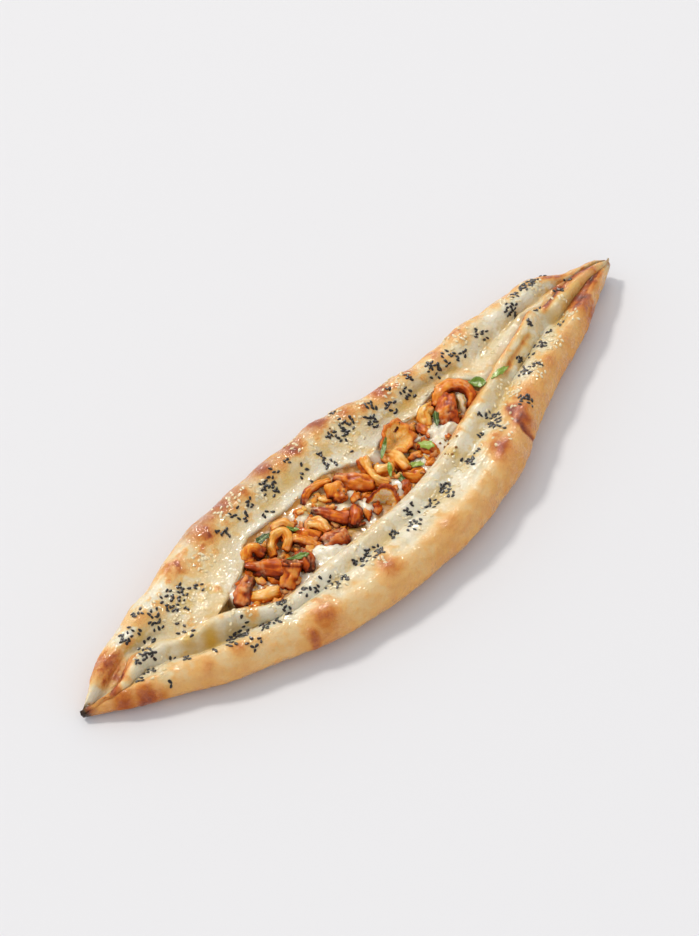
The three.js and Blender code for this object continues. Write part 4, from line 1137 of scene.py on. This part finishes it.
# %% Lay the leaves
# Each leaf: from one end to the other, greatest width, curl, lobes on each side, and how light.
LEAVES = [
    {"from": (-87, 19), "to": (-76, 19), "width": 7, "curl": 1.2, "lobes": 2, "shade": 0.12},
    {"from": (-66, 17), "to": (-62, 9), "width": 3.6, "curl": 0.8, "lobes": 3, "shade": 0.45},
    {"from": (-83, -1), "to": (-72, -8), "width": 5.5, "curl": 1.4, "lobes": 4, "shade": 0.4},
    {"from": (31, 2), "to": (35, -7), "width": 7.5, "curl": 0.9, "lobes": 2, "shade": 0.72},
    {"from": (19, 16), "to": (6, 8), "width": 3, "curl": 0.6, "lobes": 1, "shade": 0.4},
    {"from": (9, 5), "to": (2, -3), "width": 2.6, "curl": 0.5, "lobes": 1, "shade": 0.62},
    {"from": (8, -1), "to": (4, -15), "width": 5, "curl": 1.3, "lobes": 3, "shade": 0.28},
    {"from": (15, -5), "to": (23, -10), "width": 6, "curl": 0.9, "lobes": 3, "shade": 0.72},
    {"from": (55, 10), "to": (48, 2), "width": 5, "curl": 1, "lobes": 2, "shade": 0.2},
    {"from": (83, 9), "to": (91, 2), "width": 8, "curl": 1.1, "lobes": 1, "shade": 0.46},
    {"from": (94, 0.5), "to": (109, 0), "width": 5, "curl": 1, "lobes": 3, "shade": 0.58},
]
LEAF = {"thickness": 0.35, "clearance": 0.25, "deepest_sag": 2.2, "crinkle": 0.7}  # millimetres
ABOVE_ALL = 0.06  # metres: where the rays that look for the surface start


def surface_under(pieces):
    """A function that gives the highest point and its normal under (x, y), in millimetres."""
    points, faces = [], []
    for piece in pieces:
        start = len(points)
        points += [vertex.co.copy() for vertex in piece.data.vertices]
        faces += [tuple(start + i for i in face.vertices) for face in piece.data.polygons]
    tree = BVHTree.FromPolygons(points, faces)

    def drop(x, y):
        place, normal, _, _ = tree.ray_cast(Vector((x * MM, y * MM, ABOVE_ALL)), Vector((0, 0, -1)))
        return (place / MM, normal) if place else (None, None)

    return drop


def leaf_sheet(leaf, number, rows=22, columns=11):
    """The flat leaf's points, its faces, and how close each point is to a vein."""
    start, end = (np.array(leaf[name], float) for name in ("from", "to"))
    ahead = (end - start) / np.linalg.norm(end - start)
    sideways = np.array((-ahead[1], ahead[0]))
    u, v = np.meshgrid(np.linspace(0, 1, rows), np.linspace(-1, 1, columns), indexing="ij")
    lobed = 1 - 0.38 * np.abs(np.cos(math.pi * leaf["lobes"] * u)) ** 0.6 * (leaf["lobes"] > 1)
    full = 0.06 + 0.94 * np.sin(math.pi * np.clip(u, 0.02, 0.98)) ** 0.6 * lobed
    lean = 0.12 * np.abs(v) * np.sin(2 * math.pi * leaf["lobes"] * u)
    ahead_by, aside_by = (u + lean / 3)[..., None], (v * full * leaf["width"] / 2)[..., None]
    flat = start + ahead_by * (end - start) + aside_by * sideways
    wave = 0.35 * np.sin(5 * u + 2 * full * v + number) + 0.12 * np.sin(14 * u + 5 * v)
    z = leaf["curl"] * (v**2 * full + wave)
    points = np.concatenate([flat, z[..., None]], axis=2).reshape(-1, 3)
    faces = [(r * columns + c, (r + 1) * columns + c, (r + 1) * columns + c + 1, r * columns + c + 1)
             for r in range(rows - 1) for c in range(columns - 1)]
    midrib = np.exp(-((v / 0.12) ** 2))
    branches = 0.5 * np.exp(-((np.sin(math.pi * 2.5 * (2 * u - np.abs(v))) / 0.3) ** 2))
    return points, faces, (0.6 * np.maximum(midrib, branches)).ravel()


def lay_leaf(leaf, number, drop):
    """Drops a leaf onto the filling and lets it sag, then gives it its thickness."""
    points, faces, vein = leaf_sheet(leaf, number)
    ground = np.array([drop(x, y)[0][2] for x, y, _ in points])
    rest = points[:, 2] + np.percentile(ground - points[:, 2], 97)  # it lies on the highest spots
    sag = np.clip(rest - ground - 0.3, 0, LEAF["deepest_sag"])
    crinkle = LEAF["crinkle"] * lumps(points, 2.6, 2, shift=number)
    points[:, 2] = np.maximum(rest - 0.75 * sag + crinkle, ground + LEAF["clearance"])
    made = make_piece(f"parsley_{number + 1:02d}", points, faces, parsley_material,
                      vein=vein, shade=np.full(len(points), leaf["shade"]))
    thickness = made.modifiers.new("thickness", "SOLIDIFY")
    thickness.thickness = LEAF["thickness"] * MM
    thickness.offset = 1.0
    keep_result(made, thickness)
    hand_in(made, "parsley", f"parsley_leaf_{number + 1:02d}")


drop_on_filling = surface_under([dough, cheese, *mushrooms])
for number, leaf in enumerate(LEAVES):
    lay_leaf(leaf, number, drop_on_filling)

# %% [markdown]
# ## Sesame
#
# More than a thousand seeds lie in drifts where a hand let them fall. Modelling each by hand is
# out of the question, so Geometry Nodes make them: a cloud of points says where the seeds lie,
# and one small seed, made inside the tree, is set on every point, turned to the dough's slope,
# varied in size, and at the end made real, because the export drops instances. One tree serves
# black seeds, white seeds, crumbs and, further on, shreds, with the sizes as its inputs.

# %% Materials: sesame and crumbs
def make_seed_material(name, dark, light, roughness, coat):
    """A hard, slightly waxy hull, a little different from seed to seed, that catches one glint."""
    material, tree = new_material(name)
    place = add(tree, "ShaderNodeTexCoord").outputs["Object"]
    patch = grain(tree, place, 2.5, detail=2.0)  # about as long as a seed
    pits = grain(tree, place, 0.5, detail=2.0)  # pits, half a millimetre
    close_material(tree, {
        "Base Color": ramp(tree, patch, [(0.3, dark), (0.7, light)]), "Roughness": roughness,
        "Normal": bump(tree, pits, 0.3, 0.1), "IOR": 1.47, "Specular IOR Level": 0.2, "Coat Weight": coat,
        "Coat Roughness": 0.10, "Coat IOR": 1.36})
    return material


black_hull = make_seed_material("black_sesame_hull", "#120D0A", "#2A211B", 0.30, 0.8)
white_hull = make_seed_material("white_sesame_hull", "#DCC591", "#EDE0BE", 0.40, 0.4)
crumb_crust = make_seed_material("toasted_crumb", "#6E3F1B", "#B5803F", 0.5, 0.2)
print("materials:", black_hull.name, white_hull.name, crumb_crust.name)

# %% Drifts of black sesame
# Each drift: x, y, how far it reaches, and how many seeds.
BLACK_DRIFTS = [
    (-174, 29, 2.9, 5), (-181, 29, 3.4, 8), (-165, 34, 2.9, 6), (-160, 26, 4.6, 14), (-145, 25, 7.4, 24),
    (-136, 29, 3.4, 6), (-129, 23, 3.4, 4), (-154, 13, 2.9, 4), (-170, 19, 4, 4), (-179, 14, 4, 15),
    (-185, 6, 3.4, 6), (-193, 6, 2.3, 4), (-187, 14, 1.7, 3), (-178, 20, 1.5, 2), (-153, 5, 2.3, 2),
    (-93, 39, 3.4, 8), (-78, 41, 4, 9), (-67, 42, 2.3, 5), (-64, 32, 3.4, 4), (-52, 42, 4.6, 16),
    (-44, 47, 3.4, 5), (-33, 36, 6.9, 6), (-31, 46, 2.3, 3), (-14, 37, 2.3, 4), (-14, 31, 4.6, 8),
    (1, 25, 1.5, 1), (12, 41, 4, 13), (5, 38, 4, 9), (-1, 42, 1.7, 4), (13, 52, 1.7, 3), (31, 38, 3.4, 7),
    (25, 32, 4, 13), (41, 31, 2.9, 8), (47, 40, 1.5, 2), (55, 31, 4.6, 8), (63, 37, 2.3, 5), (78, 32, 4, 16),
    (92, 31, 4.6, 12), (102, 28, 3.4, 4), (119, 30, 3.4, 9), (147, 30, 4, 16), (155, 36, 2.9, 5),
    (165, 36, 2.9, 8), (172, 35, 2.9, 9), (182, 35, 1.5, 2), (177, 19, 2.9, 5), (190, 22, 1.7, 3),
    (-130, -12, 2.3, 5), (-138, -13, 3.4, 13), (-134, -16, 2.9, 11), (-146, -18, 2.3, 5), (-137, -28, 4.6, 7),
    (-124, -22, 3.4, 9), (-117, -25, 2.3, 4), (-108, -20, 2.9, 9), (-109, -25, 2.3, 6), (-94, -25, 2.9, 6),
    (-87, -28, 1.7, 4), (-79, -30, 4.6, 8), (-71, -34, 1.7, 5), (-56, -32, 3.4, 9), (-46, -34, 4.6, 17),
    (-30, -34, 2.9, 7), (-10, -30, 4, 9), (-17, -36, 4.6, 9), (2, -35, 3.4, 8), (16, -32, 3.4, 13),
    (13, -38, 2.3, 4), (39, -29, 3.4, 9), (48, -28, 1.7, 3), (70, -11, 1.7, 3), (75, -18, 4.6, 17),
    (70, -25, 3.4, 7), (60, -21, 1.7, 4), (95, -25, 4.2, 12), (113, -9, 3.4, 10), (121, -13, 2.3, 5),
    (120, 1, 1.7, 6), (137, -1, 3.4, 9), (127, -3, 2.9, 3), (143, 13, 1.5, 4), (157, 19, 2.9, 4),
    (151, 4, 1.5, 4), (160, 2, 1.7, 3), (-168, -5, 2.3, 4), (-169, 5, 1.5, 2), (-154, -14, 1.5, 2),
    (-184, -8, 1.5, 2),
]
WHITE_DRIFTS = [
    (-115, 32, 4.6, 14), (-79, 49, 5.7, 12), (-70, 48, 4.6, 10), (-19, 48, 6.9, 10), (11, 52, 5.7, 10),
    (54, 40, 8, 24), (105, 38, 6.9, 20), (61, 19, 5.7, 14), (117, 25, 6.9, 14), (150, 34, 4.6, 10),
    (170, 34, 4.6, 12), (142, -3, 5.7, 22), (168, 2, 4, 14), (97, -11, 5.1, 22), (117, -13, 5.1, 16),
    (63, -29, 6.9, 12), (32, -25, 5.7, 14), (5, 35, 8, 12), (24, 37, 6.9, 8), (-147, 24, 8, 16),
    (-180, 11, 5.7, 8), (-132, -11, 5.7, 14), (-109, -23, 5.1, 14), (-77, -29, 6.9, 12), (-49, -34, 6.9, 14),
    (-12, -34, 6.9, 10), (16, -32, 6.9, 12), (78, -20, 6.9, 10), (-54, 43, 5.7, 8), (-184, 0, 3.4, 6),
    (-129, 22, 4.6, 8), (174, 15, 3.4, 6),
]
CRUMB_DRIFTS = [
    (42, -10, 3.5, 4), (37, -17, 4, 4), (47, -12, 3, 2), (-28, 8, 3, 4), (1, 44, 3, 2), (70, 24, 3, 3),
]
print("seeds in the drifts:", [sum(drift[3] for drift in drifts) for drifts in (BLACK_DRIFTS, WHITE_DRIFTS)])

# %% One seed and its turn, as parts of a node tree
def seed_shape(tree, given, position):
    """A ball, narrower towards its far end, then scaled to a seed's length, width and height."""
    ball = add(tree, "GeometryNodeMeshUVSphere", {
        "Segments": given["Faces round"], "Rings": 6, "Radius": 0.5})
    place = add(tree, "ShaderNodeSeparateXYZ", {"Vector": position}).outputs
    kept = calculate(tree, "SUBTRACT", 1.0, calculate(tree, "MULTIPLY", place["Y"], given["Taper"]))
    drop_shape = add(tree, "ShaderNodeCombineXYZ", {
        "X": calculate(tree, "MULTIPLY", place["X"], kept), "Y": place["Y"], "Z": place["Z"]})
    tapered = add(tree, "GeometryNodeSetPosition", {
        "Geometry": ball.outputs["Mesh"], "Position": drop_shape.outputs[0]})
    size = add(tree, "ShaderNodeCombineXYZ", {
        "X": given["Width"], "Y": given["Length"], "Z": given["Height"]})
    return add(tree, "GeometryNodeTransform", {
        "Geometry": tapered.outputs[0], "Scale": size.outputs[0]}).outputs[0]


def seed_turn(tree):
    """First the heading about the seed's own upright axis, then the tilt to the dough's slope."""
    slope = add(tree, "GeometryNodeInputNamedAttribute", {"Name": "slope"}, data_type="FLOAT_VECTOR")
    heading = add(tree, "GeometryNodeInputNamedAttribute", {"Name": "heading"}, data_type="FLOAT")
    upright = add(tree, "FunctionNodeAlignRotationToVector", {
        "Vector": slope.outputs["Attribute"]}, axis="Z")
    spin = add(tree, "FunctionNodeAxisAngleToRotation", {
        "Axis": (0, 0, 1), "Angle": heading.outputs["Attribute"]})
    return add(tree, "FunctionNodeRotateRotation", {
        "Rotation": upright.outputs["Rotation"], "Rotate By": spin.outputs["Rotation"]},
        rotation_space="LOCAL").outputs["Rotation"]


def seed_scale(tree, given):
    """No two seeds are the same size."""
    least, most = (calculate(tree, way, 1.0, given["Size spread"]) for way in ("SUBTRACT", "ADD"))
    return add(tree, "FunctionNodeRandomValue", {
        "Min": least, "Max": most, "Seed": given["Seed"]}, data_type="FLOAT").outputs["Value"]


def roughen(tree, solids, given, position):
    """Pushes the surface in and out by noise. Crumbs and shreds are rough, seeds aren't."""
    bumps = add(tree, "ShaderNodeTexNoise", {
        "Vector": position, "Scale": calculate(tree, "DIVIDE", 1.0, given["Lump size"]), "Detail": 1.0})
    swell = calculate(tree, "SUBTRACT", bumps.outputs["Fac"], 0.5)
    outward = add(tree, "ShaderNodeVectorMath", {
        0: add(tree, "GeometryNodeInputNormal").outputs[0],
        "Scale": calculate(tree, "MULTIPLY", swell, given["Roughen"])}, operation="SCALE")
    return add(tree, "GeometryNodeSetPosition", {
        "Geometry": solids, "Offset": outward.outputs[0]}).outputs[0]


print("parts of the tree:", [part.__name__ for part in (seed_shape, seed_turn, seed_scale, roughen)])

# %% The tree that sets a seed on every point
def make_scatter_tree():
    """Points in, seeds out. The points carry the slope under them and a heading."""
    tree = bpy.data.node_groups.new("scatter_on_dough", "GeometryNodeTree")
    tree.is_modifier = True
    tree.interface.new_socket("Geometry", in_out="INPUT", socket_type="NodeSocketGeometry")
    sizes = {"Length": 2.9 * MM, "Width": 1.65 * MM, "Height": 0.9 * MM, "Taper": 0.7, "Size spread": 0.15,
             "Roughen": 0.0, "Lump size": 2 * MM}
    for name, value in sizes.items():
        tree.interface.new_socket(name, in_out="INPUT", socket_type="NodeSocketFloat").default_value = value
    for name, value in {"Faces round": 8, "Seed": 0}.items():
        tree.interface.new_socket(name, in_out="INPUT", socket_type="NodeSocketInt").default_value = value
    tree.interface.new_socket("Material", in_out="INPUT", socket_type="NodeSocketMaterial")
    tree.interface.new_socket("Geometry", in_out="OUTPUT", socket_type="NodeSocketGeometry")
    given = add(tree, "NodeGroupInput").outputs
    position = add(tree, "GeometryNodeInputPosition").outputs["Position"]
    strewn = add(tree, "GeometryNodeInstanceOnPoints", {
        "Points": given["Geometry"], "Instance": seed_shape(tree, given, position),
        "Rotation": seed_turn(tree), "Scale": seed_scale(tree, given)})
    real = add(tree, "GeometryNodeRealizeInstances", {"Geometry": strewn.outputs[0]})
    rough = roughen(tree, real.outputs[0], given, position)
    smooth = add(tree, "GeometryNodeSetShadeSmooth", {"Geometry": rough})
    finished = add(tree, "GeometryNodeSetMaterial", {
        "Geometry": smooth.outputs[0], "Material": given["Material"]})
    add(tree, "NodeGroupOutput", {"Geometry": finished.outputs[0]})
    return tree


scatter_tree = make_scatter_tree()
print("tree:", scatter_tree.name, "with", len(scatter_tree.nodes), "nodes")

# %% Where the seeds come to rest
TRIES = 12  # places tried for each seed that a drift wants
STEEPEST = 0.35  # the least upward part of the normal that a seed still lies on
TILT = 0.16  # how unevenly the seeds lie


def strew(drifts, drop, taken, draw, spread, spacing, proud):
    """Points in drifts, none closer than spacing to what is taken, with the slope under each."""
    points, slopes, headings = [], [], []
    for x, y, reach, count in drifts:
        found = 0
        for _ in range(count * TRIES):
            bearing, distance = draw.uniform(0, 2 * math.pi), reach * spread * draw.uniform() ** 0.6
            px, py = x + distance * math.cos(bearing), y + distance * math.sin(bearing)
            heading = draw.uniform(0, 2 * math.pi)
            place, slope = drop(px, py)
            if place is None or slope.z < STEEPEST:
                continue
            if any((place.x - o.x) ** 2 + (place.y - o.y) ** 2 < spacing**2 for o in taken):
                continue
            taken.append(place)
            points.append(place + slope * proud)
            slopes.append((slope + Vector(draw.normal(0, TILT, 3))).normalized())
            headings.append(heading)
            found += 1
            if found == count:
                break
    return points, slopes, headings


def scatter(name, strewn, material, sizes):
    """Runs the scatter tree over a cloud of points and keeps the result as a plain mesh."""
    points, slopes, headings = strewn
    cloud = make_piece(name, np.array(points), [], material, heading=headings, slope=slopes)
    modifier = cloud.modifiers.new("scatter", "NODES")
    modifier.node_group = scatter_tree
    items = scatter_tree.interface.items_tree
    sockets = {item.name: item.identifier for item in items if item.in_out == "INPUT"}
    for label, value in {**sizes, "Material": material}.items():
        modifier[sockets[label]] = value
    keep_result(cloud, modifier)
    return cloud


draw = np.random.default_rng(5)
drop_on_dough = surface_under([dough])
on_dough = []
black = strew(BLACK_DRIFTS, drop_on_dough, on_dough, draw, spread=1.25, spacing=1.25, proud=0.2)
white = strew(WHITE_DRIFTS, drop_on_dough, on_dough, draw, spread=1.5, spacing=1.3, proud=0.1)
crumbs = strew(CRUMB_DRIFTS, drop_on_filling, on_dough, draw, spread=1.2, spacing=1.2, proud=0.1)
hand_in(scatter("black_sesame", black, black_hull, {"Seed": 1}), "crust")
hand_in(scatter("white_sesame", white, white_hull, {
    "Seed": 2, "Length": 2.7 * MM, "Width": 1.6 * MM}), "crust")
hand_in(scatter("toasted_crumbs", crumbs, crumb_crust, {
    "Seed": 3, "Length": 1.5 * MM, "Width": 1.3 * MM, "Height": 1.1 * MM, "Size spread": 0.35,
    "Roughen": 0.6 * MM, "Lump size": 0.8 * MM}), "crust")
print(len(black[0]), "black seeds,", len(white[0]), "white seeds,", len(crumbs[0]), "crumbs")

# %% [markdown]
# ## Shreds between the pieces
#
# When chanterelles are torn up and stirred, their frills come off and fill the gaps. The same
# tree scatters them: longer and rougher than a seed, in the mushroom's own finish, and only
# where the filling lies low between the folds.

# %% Strew the shreds
drop_on_cheese = surface_under([cheese])


def drop_in_trough(x, y):
    """The cheese's surface, but only well inside the folds and beside the clean white mounds."""
    inside = 1.5 < y - float(centre(x) + right_lip(x)) and y < float(centre(x) + left_lip(x)) - 1.5
    on_mound = any(math.hypot(x - mx, y - my) < 0.85 * radius for mx, my, radius, _ in MOUNDS)
    return drop_on_cheese(x, y) if inside and not on_mound else (None, None)


def season(piece):
    """Tone with painted shade underneath and painted light on top, a creamy bloom on top that is partly a
    painted sheen, and fibres for scattered scraps of chanterelle.
    """
    at, facing = read_points(piece.data)
    patch = lumps(at, 7, 2, shift=3.3)
    # creamy bloom on the upward faces, partly a painted sheen
    cream = 0.5 * smoothstep(0.0, 0.5, lumps(at, 5, 2, shift=6.1)) * smoothstep(-0.2, 0.6, facing[:, 2])
    # painted shade and light: darker on the underside, lighter on top
    tone = 0.56 + 0.4 * patch + 0.3 * (0.35 - facing[:, 2])
    mark(piece.data, tone=np.clip(tone, 0.05, 0.95), blush=cream, fibre=at * MM)
    return piece


middles = [(x, float(centre(x) + (left_lip(x) + right_lip(x)) / 2)) for x in range(-112, 88, 9)]
shred_drifts = [(x, y, 17, 12) for x, y in middles]
shreds = strew(shred_drifts, drop_in_trough, [], draw, spread=1.0, spacing=2.8, proud=0.0)
bits = strew(shred_drifts[::2], drop_in_trough, [], draw, spread=1.0, spacing=7.0, proud=0.4)
torn = scatter("chanterelle_shreds", shreds, chanterelle_material, {
    "Seed": 4, "Length": 5.0 * MM, "Width": 3.0 * MM, "Height": 1.6 * MM, "Size spread": 0.45, "Taper": 0.3,
    "Roughen": 3 * MM, "Lump size": 1.5 * MM, "Faces round": 14})
chopped = scatter("chanterelle_bits", bits, chanterelle_material, {
    "Seed": 5, "Length": 9 * MM, "Width": 4.4 * MM, "Height": 3.2 * MM, "Size spread": 0.35, "Taper": 0.2,
    "Roughen": 4 * MM, "Lump size": 2.4 * MM, "Faces round": 24})
for piece in (torn, chopped):
    hand_in(season(piece), "mushroom")
print(len(shreds[0]), "shreds and", len(bits[0]), "bits")
